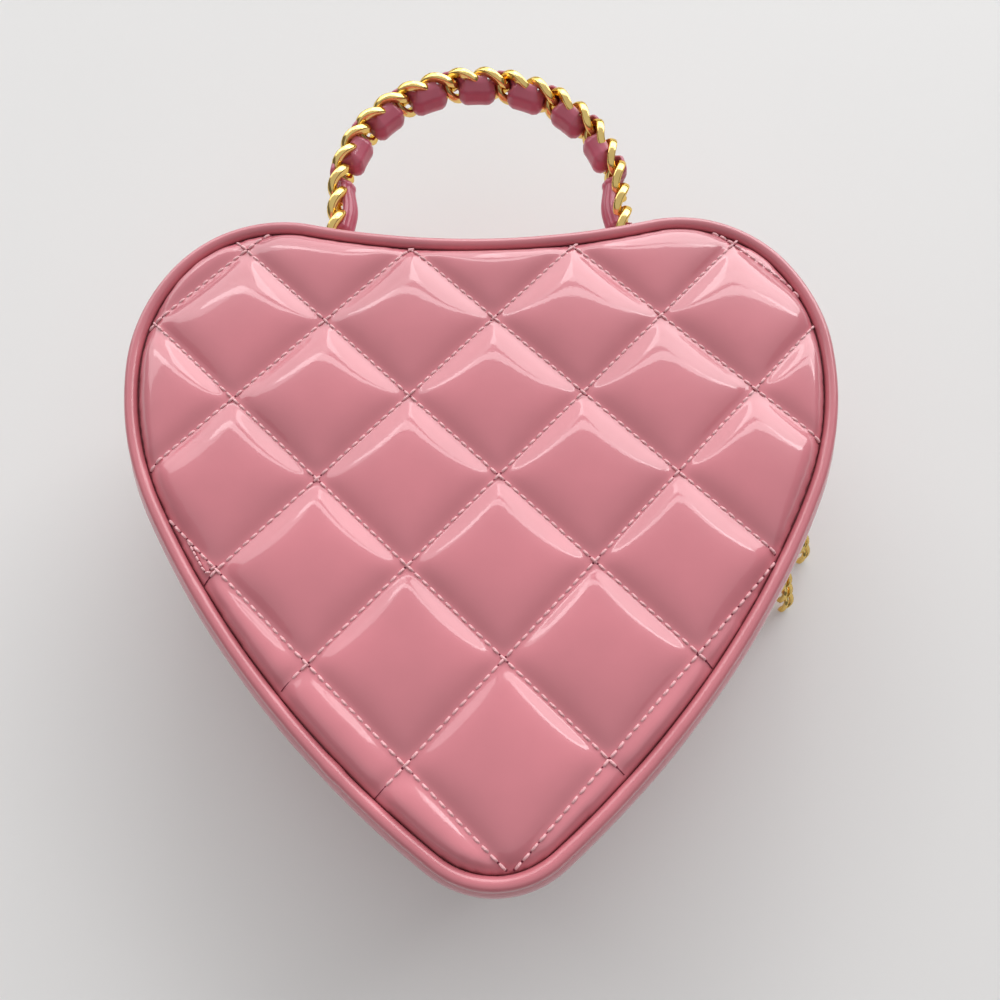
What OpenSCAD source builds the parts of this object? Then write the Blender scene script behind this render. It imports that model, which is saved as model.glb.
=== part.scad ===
// Heart shaped quilted purse lying on its front panel, in millimetres.
// X runs to the right, Y from the heart's tip to its lobes, Z up from the surface it rests on.
// The origin is the middle of a quilted pad of the front panel, on the heart's axis.

/* [Heart outline] */
// From the origin down to the tip of the heart
tip_drop = 111; // [100:1:125]
// Radius of the tip
tip_r = 28; // [24:1:34]
// Turn of the tip's arc on each side of the axis, degrees
tip_angle = 37.5; // [36:0.5:39]
// Radius of the long flank
flank_r = 296; // [270:2:320]
// Turn of the flank, degrees
flank_angle = 25; // [24:0.5:26]
// Radius of the side above the flank
side_r = 104; // [95:1:115]
// Turn of the shoulder between the side and the lobe, degrees
shoulder_angle = 35; // [32:1:38]
// Radius of the shoulder
shoulder_r = 58; // [52:1:64]
// Radius of the lobe's top
lobe_r = 42; // [38:1:46]
// Slope of the top where the lobe runs into the dip between the lobes, degrees
dip_angle = 13; // [11:0.5:15]

/* [Depth] */
// Whole depth, from the front pads to the back pads
bag_depth = 82; // [72:1:95]
// Thickness of a quilted pad with its leather
pad_t = 4.5; // [3.8:0.1:6]
// Thickness of the foam sheet under the leather
foam_t = 3; // [1.5:0.25:4]
// Thickness of the stiff panel board
board_t = 2; // [1:0.25:3]
// Thickness of the lining
lining_t = 0.8; // [0.4:0.1:1.2]

/* [Quilting] */
// Half of a quilting diamond's diagonal
quilt_half = 26.7; // [20:0.1:32]
// Width of the valley between two pads
groove_w = 14; // [8:1:16]
// Depth of the stitched valley
groove_d = 3.2; // [1.5:0.1:3.4]
// How far the back panel's quilting lies to the right of the axis
quilt_shift = 3.4; // [0:0.2:6]
// Width of each of the two steps by which a panel falls to its piping
edge_step_w = 2.4; // [1:0.2:4]
// Height of each of those steps
edge_step_h = 1.2; // [0.6:0.1:1.25]

/* [Piping] */
// Radius of the covered piping
piping_r = 1.9; // [1.5:0.1:2.2]
// Thickness of the leather round the piping cord
piping_wall = 0.7; // [0.5:0.1:0.9]
// Clearance of the cord in its cover and of the piping between its neighbours
seam_gap = 0.1; // [0.08:0.01:0.15]

/* [Side wall] */
// Thickness of the gusset's leather
gusset_t = 1.4; // [1:0.1:1.8]
// How far the gusset stands out past the piping
gusset_out = 0.8; // [0.4:0.1:1.2]
// Height of the plain opening that the zip fills, gusset edge to gusset edge
zip_slot = 12; // [10.5:0.5:16]
// How far the zip tape is sewn in behind the gusset's edge
tape_lap = 4; // [3:0.5:6]
// Thickness of the wall board
wall_board_t = 1.6; // [1:0.1:2.2]

/* [Zip] */
// Gap between the two rows of teeth
row_gap = 1.2; // [1:0.1:1.6]
// Height of a row of teeth
tooth_w = 2.2; // [1.8:0.1:2.6]
// Thickness of a tooth through the tape
tooth_t = 2.2; // [1.8:0.1:2.6]
// Length of a tooth along the tape
tooth_l = 2; // [1.6:0.1:2.6]
// Spacing of the teeth
tooth_pitch = 4; // [3.2:0.1:5]
// Thickness of the tape
tape_t = 0.8; // [0.5:0.1:1]
// Length of a zip stop
stop_l = 4; // [3:0.5:6]

/* [Sliders] */
// Length of a slider
slider_l = 13; // [10:0.5:14]
// Width of a slider
slider_w = 9; // [8:0.5:9.5]
// Thickness of a slider's plates
plate_t = 1.2; // [0.9:0.1:1.5]
// Running clearance between a plate and the teeth
slider_gap = 0.4; // [0.35:0.01:0.45]
// Thickness of the divider between the rows
divider_t = 0.6; // [0.4:0.05:0.7]
// Degrees from the meeting point down to the lower slider's middle, along the flank
lower_park = 2; // [1.8:0.1:2.6]
// Degrees from the meeting point up to the upper slider's middle, along the side
upper_park = 4.6; // [4.2:0.1:6]
// Radius of the bar that carries the pull
bar_r = 0.7; // [0.6:0.05:0.9]
// Mean radius of the pull ring
pull_ring_r = 2.9; // [2.7:0.1:3.3]
// Wire radius of the pull ring
pull_ring_wire = 0.65; // [0.5:0.05:0.75]
// Clearance where rings and links hang in each other
link_gap = 0.3; // [0.25:0.01:0.4]
// Lean of a hanging pull away from the purse, degrees from upright
pull_lean = 24; // [20:1:30]
// Wire radius of a pull's links
pull_wire = 0.8; // [0.65:0.05:0.95]
// Half width of a pull's links, to the middle of the wire
pull_half_w = 3.6; // [3.5:0.1:4]
// Height of a pull's end above the surface the purse lies on
pull_rise = 0.5; // [0.3:0.1:1.5]

/* [Handle] */
// Radius of the handle's arch, which is half the spacing of its legs
arch_r = 53.3; // [48:0.1:57]
// Number of links
link_count = 20; // [20:2:24]
// Spacing of the links
link_pitch = 10.6; // [10:0.1:11]
// Wire radius of the links
link_wire = 1.4; // [1.2:0.05:1.45]
// Half width of a link, to the middle of the wire
link_half_w = 5; // [4.8:0.1:5.6]
// Twist of each end of a link about the chain, degrees
twist_angle = 40; // [38:1:44]
// How far the woven strap swings to each side of the chain
strap_swing = 4.8; // [4.7:0.1:5.4]
// Thickness of the woven strap
strap_t = 2.2; // [1.6:0.1:2.2]
// Width of the woven strap
strap_w = 5.2; // [4:0.2:5.4]
// From the back gusset's zip edge to the handle's hinge
handle_up = 5; // [3:0.5:9]
// Wire radius of the handle rings
ring_wire = 1.6; // [1.4:0.1:1.8]
// Mean radius of a handle ring's bow
ring_r = 9.5; // [9.2:0.1:11]
// Running clearance of a ring in its leather loop
ring_clearance = 0.1; // [0.08:0.01:0.1]
// Thickness of the leather loop round the ring
tab_t = 1.6; // [1.2:0.1:2]
// Width of a handle tab
tab_w = 12; // [10:0.5:13]
// Length of a handle tab above the ring
tab_l = 14; // [12:0.5:16]
// Clearance of a tab from the gusset it is sewn to
tab_seat = 0.05; // [0.03:0.01:0.1]

/* [Inside pocket] */
// Width of the pocket
pocket_w = 100; // [80:2:110]
// Height of the pocket
pocket_h = 62; // [45:1:68]
// Thickness of the pocket's cloth
pocket_t = 1.2; // [0.8:0.1:2]
// Radius of the pocket's lower corners
pocket_r = 12; // [6:1:18]
// From the origin to the pocket's lower edge
pocket_y = -22; // [-30:1:-15]

/* [Hidden] */

patent = "palevioletred";
patent_dark = "mediumvioletred";
gold = "goldenrod";
cloth = "rosybrown";
foam = "mistyrose";
card = "tan";

// Steps along each arc of the outline, from the tip to the dip between the lobes
arc_steps = [8, 12, 8, 8, 12, 8];
// Sides of the piping, of its cord, of the links and of the strap
piping_sides = 8;
cord_sides = 6;
link_sides = 6;
link_steps = 16;
pull_link_steps = 16;
strap_steps = 6;
pull_links = 4;
bore_fn = 48;
overrun = 2;

mid_z = bag_depth / 2;
tip_end = tip_angle - 90;
meet_angle = tip_end + flank_angle;
shoulder_end = shoulder_angle;
lobe_end = 90 + dip_angle;

function unit(a) = [cos(a), sin(a)];

// Centres of the tangent arcs of the right half; the dip's arc is hollow, so its radius is negative
tip_c = [0, tip_r - tip_drop];
flank_c = tip_c + (tip_r - flank_r) * unit(tip_end);
side_c = flank_c + (flank_r - side_r) * unit(meet_angle);
shoulder_c = side_c + (side_r - shoulder_r) * unit(0);
lobe_c = shoulder_c + (shoulder_r - lobe_r) * unit(shoulder_end);
dip_r = lobe_c.x / sin(dip_angle) - lobe_r;
dip_c = lobe_c + (lobe_r + dip_r) * unit(lobe_end);

TIP = 0;
FLANK = 1;
SIDE = 2;
DIP = 5;
// Each arc is its centre, radius, first angle and last angle
arcs = [
    [tip_c, tip_r, -90, tip_end],
    [flank_c, flank_r, tip_end, meet_angle],
    [side_c, side_r, meet_angle, 0],
    [shoulder_c, shoulder_r, 0, shoulder_end],
    [lobe_c, lobe_r, shoulder_end, lobe_end],
    [dip_c, -dip_r, lobe_end, 90]
];

// A station is an arc's number, an angle on it, and 1 for the right half or -1 for the left
right_stations = [
    for (k = [TIP:DIP]) for (i = [0:arc_steps[k] - 1])
        [k, arcs[k][2] + (arcs[k][3] - arcs[k][2]) * i / arc_steps[k], 1]
];
left_stations = [for (i = [len(right_stations) - 1:-1:1]) let (s = right_stations[i]) [s[0], s[1], -1]];
stations = concat(right_stations, [[DIP, 90, 1]], left_stations);

function rim(s, off) = let (p = arcs[s[0]][0] + (arcs[s[0]][1] + off) * unit(s[1])) [s[2] * p.x, p.y];
function rim_normal(s) = [s[2] * cos(s[1]), sin(s[1])];

// Distances outward from the piping's outer edge
piping_off = -piping_r;
panel_off = -2 * piping_r - seam_gap;
gusset_in = gusset_out - gusset_t;
board_off = gusset_in;
wall_in = gusset_in - wall_board_t;
lining_in = wall_in - lining_t;
tape_in = gusset_in - tape_t;
tooth_off = gusset_in - tape_t / 2;
patch_t = 1.2;

// Heights from a panel's pads inward, the same for both halves
piping_z = pad_t;
flange_z = piping_z + piping_r + seam_gap;
foam_end = pad_t + foam_t;
board_end = foam_end + board_t;
lining_end = board_end + lining_t;
gusset_end = mid_z - zip_slot / 2;
tape_start = gusset_end - tape_lap;
teeth_end = mid_z - row_gap / 2;
teeth_start = teeth_end - tooth_w;

module heart(off) {
    polygon([for (s = stations) rim(s, off)]);
}

module heart_slab(off, low, high) {
    translate([0, 0, low]) linear_extrude(high - low) heart(off);
}

module heart_band(outer, inner, low, high) {
    translate([0, 0, low]) linear_extrude(high - low) difference() {
        heart(outer);
        heart(inner);
    }
}

// Puts children at a place on the rim: X outward, Y along the rim, Z up
module on_rim_right(k, a) {
    translate([arcs[k][0].x, arcs[k][0].y, 0]) rotate([0, 0, a]) translate([arcs[k][1], 0, 0]) children();
}

module on_rim(k, a, side) {
    if (side < 0) mirror([1, 0, 0]) on_rim_right(k, a) children();
    else on_rim_right(k, a) children();
}

// A half is built with its pads at zero and its inside upward; the back half is turned over
module in_half(back) {
    if (back) translate([0, 0, bag_depth]) mirror([0, 0, 1]) children();
    else children();
}

// Faces of a closed skin through rings of points, run round to the first ring again or capped
function ring_faces(rings, sides, closed) = [
    for (i = [0:rings - (closed ? 1 : 2)]) for (j = [0:sides - 1])
        let (a = i * sides + j, b = i * sides + (j + 1) % sides)
        let (c = ((i + 1) % rings) * sides + (j + 1) % sides, d = ((i + 1) % rings) * sides + j)
            each [[a, b, d], [b, c, d]]
];
function cap_faces(rings, sides) = let (last = (rings - 1) * sides) [
    for (j = [1:sides - 2]) each [[0, j + 1, j], [last, last + j, last + j + 1]]
];

module skin(rings, closed) {
    sides = len(rings[0]);
    points = [for (r = rings) each r];
    faces = closed ? ring_faces(len(rings), sides, true)
        : concat(ring_faces(len(rings), sides, false), cap_faces(len(rings), sides));
    polyhedron(points, faces);
}

module rim_tube(off, z, r, sides) {
    skin([
        for (s = stations) let (c = rim(s, off), n = rim_normal(s)) [
            for (j = [0:sides - 1]) let (q = (j + 0.5) * 360 / sides)
                [c.x + r * cos(q) * n.x, c.y + r * cos(q) * n.y, z + r * sin(q)]
        ]
    ], true);
}

// Quilted panel: a leather slab that falls to its piping in two steps, with stitched valleys
groove_share = [[0.5, 0], [0.26, 0.3], [0.06, 1]];
quilt_reach = 2 * tip_drop + overrun;
quilt_lines = 4;

module groove() {
    rotate([90, 0, 90]) linear_extrude(2 * quilt_reach, center = true) polygon(concat(
        [[-groove_w * groove_share[0].x, -overrun], [groove_w * groove_share[0].x, -overrun]],
        [for (p = groove_share) [p.x * groove_w, p.y * groove_d]],
        [for (i = [2:-1:0]) [-groove_share[i].x * groove_w, groove_share[i].y * groove_d]]
    ));
}

module quilted_panel(shift_x, shift_y) {
    difference() {
        union() {
            heart_slab(panel_off, 2 * edge_step_h, pad_t);
            heart_slab(panel_off - edge_step_w, edge_step_h, 2 * edge_step_h);
            heart_slab(panel_off - 2 * edge_step_w, 0, edge_step_h);
        }
        translate([shift_x, shift_y, 0]) for (turn = [45, -45]) for (k = [-quilt_lines:quilt_lines])
            translate([2 * k * quilt_half, 0, 0]) rotate([0, 0, turn]) groove();
    }
}

module padding() {
    heart_slab(panel_off - seam_gap, pad_t, foam_end);
}

module panel_board() {
    heart_slab(board_off, foam_end, board_end);
}

module piping() {
    difference() {
        rim_tube(piping_off, piping_z, piping_r, piping_sides);
        rim_tube(piping_off, piping_z, piping_r - piping_wall, cord_sides);
    }
}

module piping_cord() {
    rim_tube(piping_off, piping_z, piping_r - piping_wall - seam_gap, cord_sides);
}

module gusset() {
    heart_band(gusset_out, gusset_in, flange_z, gusset_end);
    heart_band(gusset_in + seam_gap, panel_off, flange_z, foam_end);
}

module wall_board() {
    heart_band(gusset_in, wall_in, board_end, tape_start);
}

module lining() {
    heart_slab(wall_in, board_end, lining_end);
    heart_band(wall_in, lining_in, board_end, tape_start);
}

// Everything of the zip stops short of the tip, where the hinge patch is
tip_edge = rim([TIP, tip_end, 1], 0);
tip_reach = tip_edge.y + tip_drop + tip_r / 2;

module without_tip() {
    difference() {
        children();
        translate([-tip_edge.x, -tip_drop - overrun, -overrun])
            cube([2 * tip_edge.x, tip_reach + 2 * overrun, bag_depth + 2 * overrun]);
    }
}

module zip_tape() {
    without_tip() heart_band(gusset_in, tape_in, tape_start, teeth_start);
}

function arc_length(k) = abs(arcs[k][1] * (arcs[k][3] - arcs[k][2])) * PI / 180;

module teeth_on_arc(k, side) {
    count = floor(arc_length(k) / tooth_pitch);
    step = (arcs[k][3] - arcs[k][2]) / count;
    first = k == FLANK ? ceil((stop_l + tooth_pitch) / tooth_pitch) : 0;
    for (i = [first:count - 1]) on_rim(k, arcs[k][2] + (i + 0.5) * step, side)
        translate([tooth_off - tooth_t / 2, -tooth_l / 2, teeth_start]) cube([tooth_t, tooth_l, tooth_w]);
}

module zip_teeth() {
    for (side = [1, -1]) for (k = [FLANK:DIP]) teeth_on_arc(k, side);
}

stop_turn = 0.75 * stop_l / flank_r * 180 / PI;

module zip_stops() {
    for (side = [1, -1]) on_rim(FLANK, tip_end + stop_turn, side)
        translate([tooth_off - tooth_t / 2, -stop_l / 2, teeth_start]) cube([tooth_t, stop_l, tooth_w]);
}

patch_lap_gap = 0.3;

module hinge_patch() {
    low = tape_start + patch_lap_gap;
    color(patent) intersection() {
        heart_band(gusset_in, gusset_in - patch_t, low, bag_depth - low);
        translate([patch_lap_gap - tip_edge.x, -tip_drop - overrun, 0])
            cube([2 * (tip_edge.x - patch_lap_gap), tip_reach + overrun, bag_depth]);
    }
}

module front_panel() { color(patent) in_half(false) quilted_panel(0, quilt_half); }
module front_padding() { color(foam) in_half(false) padding(); }
module front_board() { color(card) in_half(false) panel_board(); }
module front_piping() { color(patent_dark) in_half(false) piping(); }
module front_piping_cord() { color(foam) in_half(false) piping_cord(); }
module front_gusset() { color(patent) in_half(false) gusset(); }
module front_wall_board() { color(card) in_half(false) wall_board(); }
module front_lining() { color(cloth) in_half(false) lining(); }
module front_zip_tape() { color(cloth) in_half(false) zip_tape(); }
module front_zip_teeth() { color(gold) in_half(false) zip_teeth(); }
module front_zip_stops() { color(gold) in_half(false) zip_stops(); }

module back_panel() { color(patent) in_half(true) quilted_panel(quilt_shift, 0); }
module back_padding() { color(foam) in_half(true) padding(); }
module back_board() { color(card) in_half(true) panel_board(); }
module back_piping() { color(patent_dark) in_half(true) piping(); }
module back_piping_cord() { color(foam) in_half(true) piping_cord(); }
module back_gusset() { color(patent) in_half(true) gusset(); }
module back_wall_board() { color(card) in_half(true) wall_board(); }
module back_lining() { color(cloth) in_half(true) lining(); }
module back_zip_tape() { color(cloth) in_half(true) zip_tape(); }
module back_zip_teeth() { color(gold) in_half(true) zip_teeth(); }
module back_zip_stops() { color(gold) in_half(true) zip_stops(); }

// Flat pocket of lining cloth on the back half's lining
module inner_pocket() {
    color(cloth) in_half(true) translate([0, pocket_y, lining_end]) linear_extrude(pocket_t) union() {
        translate([-pocket_w / 2, pocket_r]) square([pocket_w, pocket_h - pocket_r]);
        translate([pocket_r - pocket_w / 2, 0]) square([pocket_w - 2 * pocket_r, pocket_r + overrun]);
        for (side = [1, -1]) translate([side * (pocket_w / 2 - pocket_r), pocket_r])
            circle(pocket_r, $fn = bore_fn);
    }
}

// Handle anchors: a leather loop sewn to the back gusset holds a ring that turns about X
handle_z = bag_depth - gusset_end + handle_up;
loop_r = ring_wire + ring_clearance + tab_t;
foot_slope = asin(arch_r / (dip_r - gusset_out));
foot_y = dip_c.y - sqrt(pow(dip_r - gusset_out, 2) - pow(arch_r, 2));
hinge_y = foot_y + tab_w / 2 * tan(foot_slope) + loop_r + 2 * ring_clearance;
tab_sheet = 2 * tab_t;

module handle_tab(side) {
    color(patent) difference() {
        union() {
            translate([side * arch_r - tab_w / 2, foot_y - tab_sheet, handle_z])
                cube([tab_w, 2 * tab_sheet, tab_l]);
            translate([side * arch_r - tab_w / 2, hinge_y, handle_z]) rotate([0, 90, 0])
                cylinder(r = loop_r, h = tab_w, $fn = bore_fn);
        }
        heart_slab(gusset_out + tab_seat, 0, bag_depth);
        translate([side * arch_r - tab_w / 2 - overrun, hinge_y, handle_z]) rotate([0, 90, 0])
            cylinder(r = ring_wire + ring_clearance, h = tab_w + 2 * overrun, $fn = bore_fn);
    }
}

module left_handle_tab() { handle_tab(-1); }
module right_handle_tab() { handle_tab(1); }

module handle_ring(side) {
    color(gold) translate([side * arch_r, hinge_y, handle_z]) {
        translate([-ring_r - ring_wire, 0, 0]) rotate([0, 90, 0])
            cylinder(r = ring_wire, h = 2 * (ring_r + ring_wire), $fn = bore_fn);
        rotate_extrude(angle = 180, $fn = bore_fn) translate([ring_r, 0]) circle(ring_wire, $fn = bore_fn);
    }
}

module left_handle_ring() { handle_ring(-1); }
module right_handle_ring() { handle_ring(1); }

// The chain's middle line runs up one leg, round the arch and down the other
link_half_l = (link_pitch + 2 * link_wire + link_gap) / 2;
first_link_y = hinge_y + ring_r - ring_wire - link_wire - link_gap + link_half_l;
arch_l = PI * arch_r;
leg_l = ((link_count - 1) * link_pitch - arch_l) / 2;
arch_y = first_link_y + leg_l;

// A point on that line is its place and its direction, s millimetres from the left leg's first link
function chain_point(s) = s < leg_l ? [-arch_r, first_link_y + s]
    : s > leg_l + arch_l ? [arch_r, arch_y - (s - leg_l - arch_l)]
    : [0, arch_y] + arch_r * unit(180 - (s - leg_l) / arch_r * 180 / PI);
function chain_turn(s) = s < leg_l ? 90 : s > leg_l + arch_l ? -90 : 90 - (s - leg_l) / arch_r * 180 / PI;

// A point beside the line, u outward from the arch
function beside(s, u) = let (p = chain_point(s) + u * unit(chain_turn(s) + 90)) [p.x, p.y, handle_z];

// A twisted oval link in its own frame: X along the chain, Y across it, Z through it
function link_line(t, half_l, half_w, twist) =
    [half_l * cos(t), half_w * sin(t) * cos(twist * cos(t)), half_w * sin(t) * sin(twist * cos(t))];

function link_ring(t, half_l, half_w, twist, r, sides) =
    let (c = link_line(t, half_l, half_w, twist))
    let (d = link_line(t + 1, half_l, half_w, twist) - link_line(t - 1, half_l, half_w, twist))
    let (e = d / norm(d), m = cross(e, [0, sin(twist * cos(t)), -cos(twist * cos(t))]))
    let (n = m / norm(m), b = cross(n, e))
        [for (j = [0:sides - 1]) let (q = (j + 0.5) * 360 / sides) c + r * cos(q) * n + r * sin(q) * b];

module curb_link(half_l, half_w, twist, r, steps) {
    skin([for (i = [0:steps - 1]) link_ring(i * 360 / steps, half_l, half_w, twist, r, link_sides)], true);
}

module handle_chain() {
    color(gold) for (i = [0:link_count - 1]) let (s = i * link_pitch, p = chain_point(s))
        translate([p.x, p.y, handle_z]) rotate([0, 0, chain_turn(s)]) rotate([90, 0, 0])
            curb_link(link_half_l, link_half_w, twist_angle, link_wire, link_steps);
}

// The strap lies inside the arch at both ends and weaves through every link between
weave_from = 1.5 * link_pitch;
weave_to = (link_count - 2.5) * link_pitch;
strap_end = link_half_l - 2 * ring_wire - link_wire - 2 * link_gap;
strap_rings = strap_steps * (link_count - 4);

function strap_out(s) = s < weave_from || s > weave_to ? -strap_swing
    : -strap_swing * cos((s - weave_from) / link_pitch * 180);
function strap_point(s) = beside(s, strap_out(s));
function strap_ring(s) =
    let (c = strap_point(s), d = strap_point(s + link_wire / 10) - strap_point(s - link_wire / 10))
    let (e = d / norm(d), n = [-e.y, e.x, 0])
        [for (q = [[1, 1], [1, -1], [-1, -1], [-1, 1]])
            c + q.x * strap_t / 2 * n + [0, 0, q.y * strap_w / 2]];

module handle_strap() {
    color(patent_dark) skin(concat(
        [strap_ring(-strap_end)],
        [for (i = [0:strap_rings]) strap_ring(weave_from + (weave_to - weave_from) * i / strap_rings)],
        [strap_ring((link_count - 1) * link_pitch + strap_end)]
    ), false);
}

// Sliders, each in its own frame: X outward, Y up the flank, Z across the zip
plate_out = tooth_off + tooth_t / 2 + slider_gap;
plate_in = tooth_off - tooth_t / 2 - slider_gap;
bar_x = plate_out + plate_t + pull_ring_r + pull_ring_wire + link_gap;
lip_w = 1;
bridge_l = 8;
bridge_t = 1.4;
divider_l = 5;

module slider_body() {
    color(gold) {
        translate([plate_out, -slider_l / 2, -slider_w / 2]) cube([plate_t, slider_l, slider_w]);
        translate([plate_in - plate_t, -slider_l / 2, -slider_w / 2]) cube([plate_t, slider_l, slider_w]);
        translate([plate_in - plate_t / 2, -divider_l / 2, -divider_t / 2])
            cube([plate_out - plate_in + plate_t, divider_l, divider_t]);
        // The lips hold the slider on the front row; the back row leaves it as the purse opens
        translate([gusset_in + slider_gap, -slider_l / 2, -slider_w / 2])
            cube([plate_out - gusset_in, slider_l, lip_w]);
        translate([plate_in - plate_t, -slider_l / 2, -slider_w / 2])
            cube([tape_in - slider_gap - plate_in + plate_t, slider_l, lip_w]);
        for (y = [-bridge_l / 2, bridge_l / 2 - bridge_t]) translate([plate_out + plate_t / 2, y, -bar_r])
            cube([bar_x - plate_out - plate_t / 2, bridge_t, 2 * bar_r]);
        translate([bar_x, -bridge_l / 2, 0]) rotate([-90, 0, 0])
            cylinder(r = bar_r, h = bridge_l, $fn = bore_fn);
    }
}

// A pull hangs from the bar and leans outward until its end is just above the ground
ring_drop = pull_ring_r - pull_ring_wire - bar_r - link_gap;
hook_drop = ring_drop + pull_ring_r;
pull_l = (mid_z - pull_rise) / cos(pull_lean) - pull_wire * tan(pull_lean);
first_drop = hook_drop - pull_ring_wire - pull_wire - link_gap;
pull_pitch_loss = 2 * pull_wire + link_gap;
pull_half_l = (pull_l - first_drop - pull_wire + (pull_links - 1) * pull_pitch_loss) / (2 * pull_links);
pull_pitch = 2 * pull_half_l - pull_pitch_loss;

module pull_ring() {
    color(gold) translate([bar_x, 0, 0]) rotate([0, 90 - pull_lean, 0]) translate([ring_drop, 0, 0])
        rotate([90, 0, 0]) rotate_extrude($fn = bore_fn) translate([pull_ring_r, 0])
            circle(pull_ring_wire, $fn = bore_fn);
}

module pull_chain() {
    color(gold) translate([bar_x, 0, 0]) rotate([0, 90 - pull_lean, 0]) for (i = [0:pull_links - 1])
        translate([first_drop + pull_half_l + i * pull_pitch, 0, 0])
            curb_link(pull_half_l, pull_half_w, twist_angle, pull_wire, pull_link_steps);
}

lower_angle = meet_angle - lower_park;
upper_angle = meet_angle + upper_park;

module at_lower() { on_rim_right(FLANK, lower_angle) translate([0, 0, mid_z]) children(); }
module at_upper() { on_rim_right(SIDE, upper_angle) translate([0, 0, mid_z]) children(); }

module lower_slider() { at_lower() slider_body(); }
module upper_slider() { at_upper() slider_body(); }
module lower_pull_ring() { at_lower() pull_ring(); }
module upper_pull_ring() { at_upper() pull_ring(); }
module lower_pull_chain() { at_lower() pull_chain(); }
module upper_pull_chain() { at_upper() pull_chain(); }

front_panel();
front_padding();
front_board();
front_piping();
front_piping_cord();
front_gusset();
front_wall_board();
front_lining();
front_zip_tape();
front_zip_teeth();
front_zip_stops();
back_panel();
back_padding();
back_board();
back_piping();
back_piping_cord();
back_gusset();
back_wall_board();
back_lining();
back_zip_tape();
back_zip_teeth();
back_zip_stops();
inner_pocket();
hinge_patch();
left_handle_tab();
right_handle_tab();
left_handle_ring();
right_handle_ring();
handle_chain();
handle_strap();
upper_slider();
lower_slider();
upper_pull_ring();
lower_pull_ring();
upper_pull_chain();
lower_pull_chain();
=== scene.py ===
"""Heart shaped quilted purse of patent leather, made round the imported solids. Lengths are in metres."""

import math

import bmesh
import bpy
import numpy as np
from bpy.props import FloatProperty, FloatVectorProperty, IntProperty, PointerProperty
from mathutils import Euler, Matrix, Vector


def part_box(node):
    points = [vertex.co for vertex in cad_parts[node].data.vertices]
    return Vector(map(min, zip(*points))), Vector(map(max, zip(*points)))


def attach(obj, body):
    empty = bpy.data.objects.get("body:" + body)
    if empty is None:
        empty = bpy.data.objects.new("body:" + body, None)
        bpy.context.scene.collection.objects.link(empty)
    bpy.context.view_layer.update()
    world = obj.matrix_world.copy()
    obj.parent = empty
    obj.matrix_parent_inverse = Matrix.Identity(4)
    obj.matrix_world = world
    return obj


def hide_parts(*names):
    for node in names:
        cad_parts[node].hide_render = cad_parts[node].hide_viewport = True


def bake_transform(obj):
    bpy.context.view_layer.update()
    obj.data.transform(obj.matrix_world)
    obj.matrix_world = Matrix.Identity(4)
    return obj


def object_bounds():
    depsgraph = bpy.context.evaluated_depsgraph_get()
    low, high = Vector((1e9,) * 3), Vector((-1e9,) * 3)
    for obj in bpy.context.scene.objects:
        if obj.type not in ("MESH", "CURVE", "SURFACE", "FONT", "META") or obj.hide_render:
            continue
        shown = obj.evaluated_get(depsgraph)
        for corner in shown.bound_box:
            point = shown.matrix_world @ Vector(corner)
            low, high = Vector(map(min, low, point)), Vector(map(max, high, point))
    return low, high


bl_info = {
    "name": "Quilted Heart Purse",
    "version": (1, 0, 0),
    "blender": (4, 5, 0),
    "location": "View3D > Sidebar > Purse",
    "description": "Dresses the solids of a heart shaped purse with leather, gold, cloth and thread",
    "category": "Object",
}

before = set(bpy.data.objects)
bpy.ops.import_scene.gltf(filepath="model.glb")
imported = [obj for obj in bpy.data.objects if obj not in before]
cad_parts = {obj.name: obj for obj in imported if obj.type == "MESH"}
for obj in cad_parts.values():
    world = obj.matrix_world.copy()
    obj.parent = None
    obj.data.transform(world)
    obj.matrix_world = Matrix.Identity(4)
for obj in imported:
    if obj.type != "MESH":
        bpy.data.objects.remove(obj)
CAD_BOX = [list(corner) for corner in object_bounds()]
MM = 0.001
TIP, FLANK, SIDE, SHOULDER, LOBE, DIP = range(6)
HALF_NAMES = ("front", "back")
UP = np.array([0.0, 0.0, 1.0])

# The least length to divide by, and the share of a chain's pitch at which its line keeps the last link
TINY = 1e-9
PITCH_SHARE = 0.995


# Settings

def distance(name, description, default):
    return FloatProperty(name=name, description=description, default=default, subtype="DISTANCE",
                         unit="LENGTH", precision=5)


def turn(name, description, degrees):
    return FloatProperty(name=name, description=description, default=math.radians(degrees), subtype="ANGLE",
                         unit="ROTATION")


def share(name, description, default):
    return FloatProperty(name=name, description=description, default=default, min=0, subtype="FACTOR")


def number(name, description, default):
    return FloatProperty(name=name, description=description, default=default, min=0)


def colour(name, description, default):
    return FloatVectorProperty(name=name, description=description, default=default, size=3, min=0, max=1,
                               subtype="COLOR")


class PurseOutline(bpy.types.PropertyGroup):
    tip_drop: distance("Tip drop", "From the origin down to the heart's tip", 0.111)
    tip_r: distance("Tip radius", "Radius of the tip", 0.028)
    tip_angle: turn("Tip turn", "Turn of the tip's arc on each side of the axis", 37.5)
    flank_r: distance("Flank radius", "Radius of the long flank", 0.296)
    flank_angle: turn("Flank turn", "Turn of the flank", 25)
    side_r: distance("Side radius", "Radius of the side above the flank", 0.104)
    shoulder_angle: turn("Shoulder turn", "Turn of the shoulder between side and lobe", 35)
    shoulder_r: distance("Shoulder radius", "Radius of the shoulder", 0.058)
    lobe_r: distance("Lobe radius", "Radius of the lobe's top", 0.042)
    dip_angle: turn("Dip slope", "Slope of the top where the lobe runs into the dip", 13)


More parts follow.
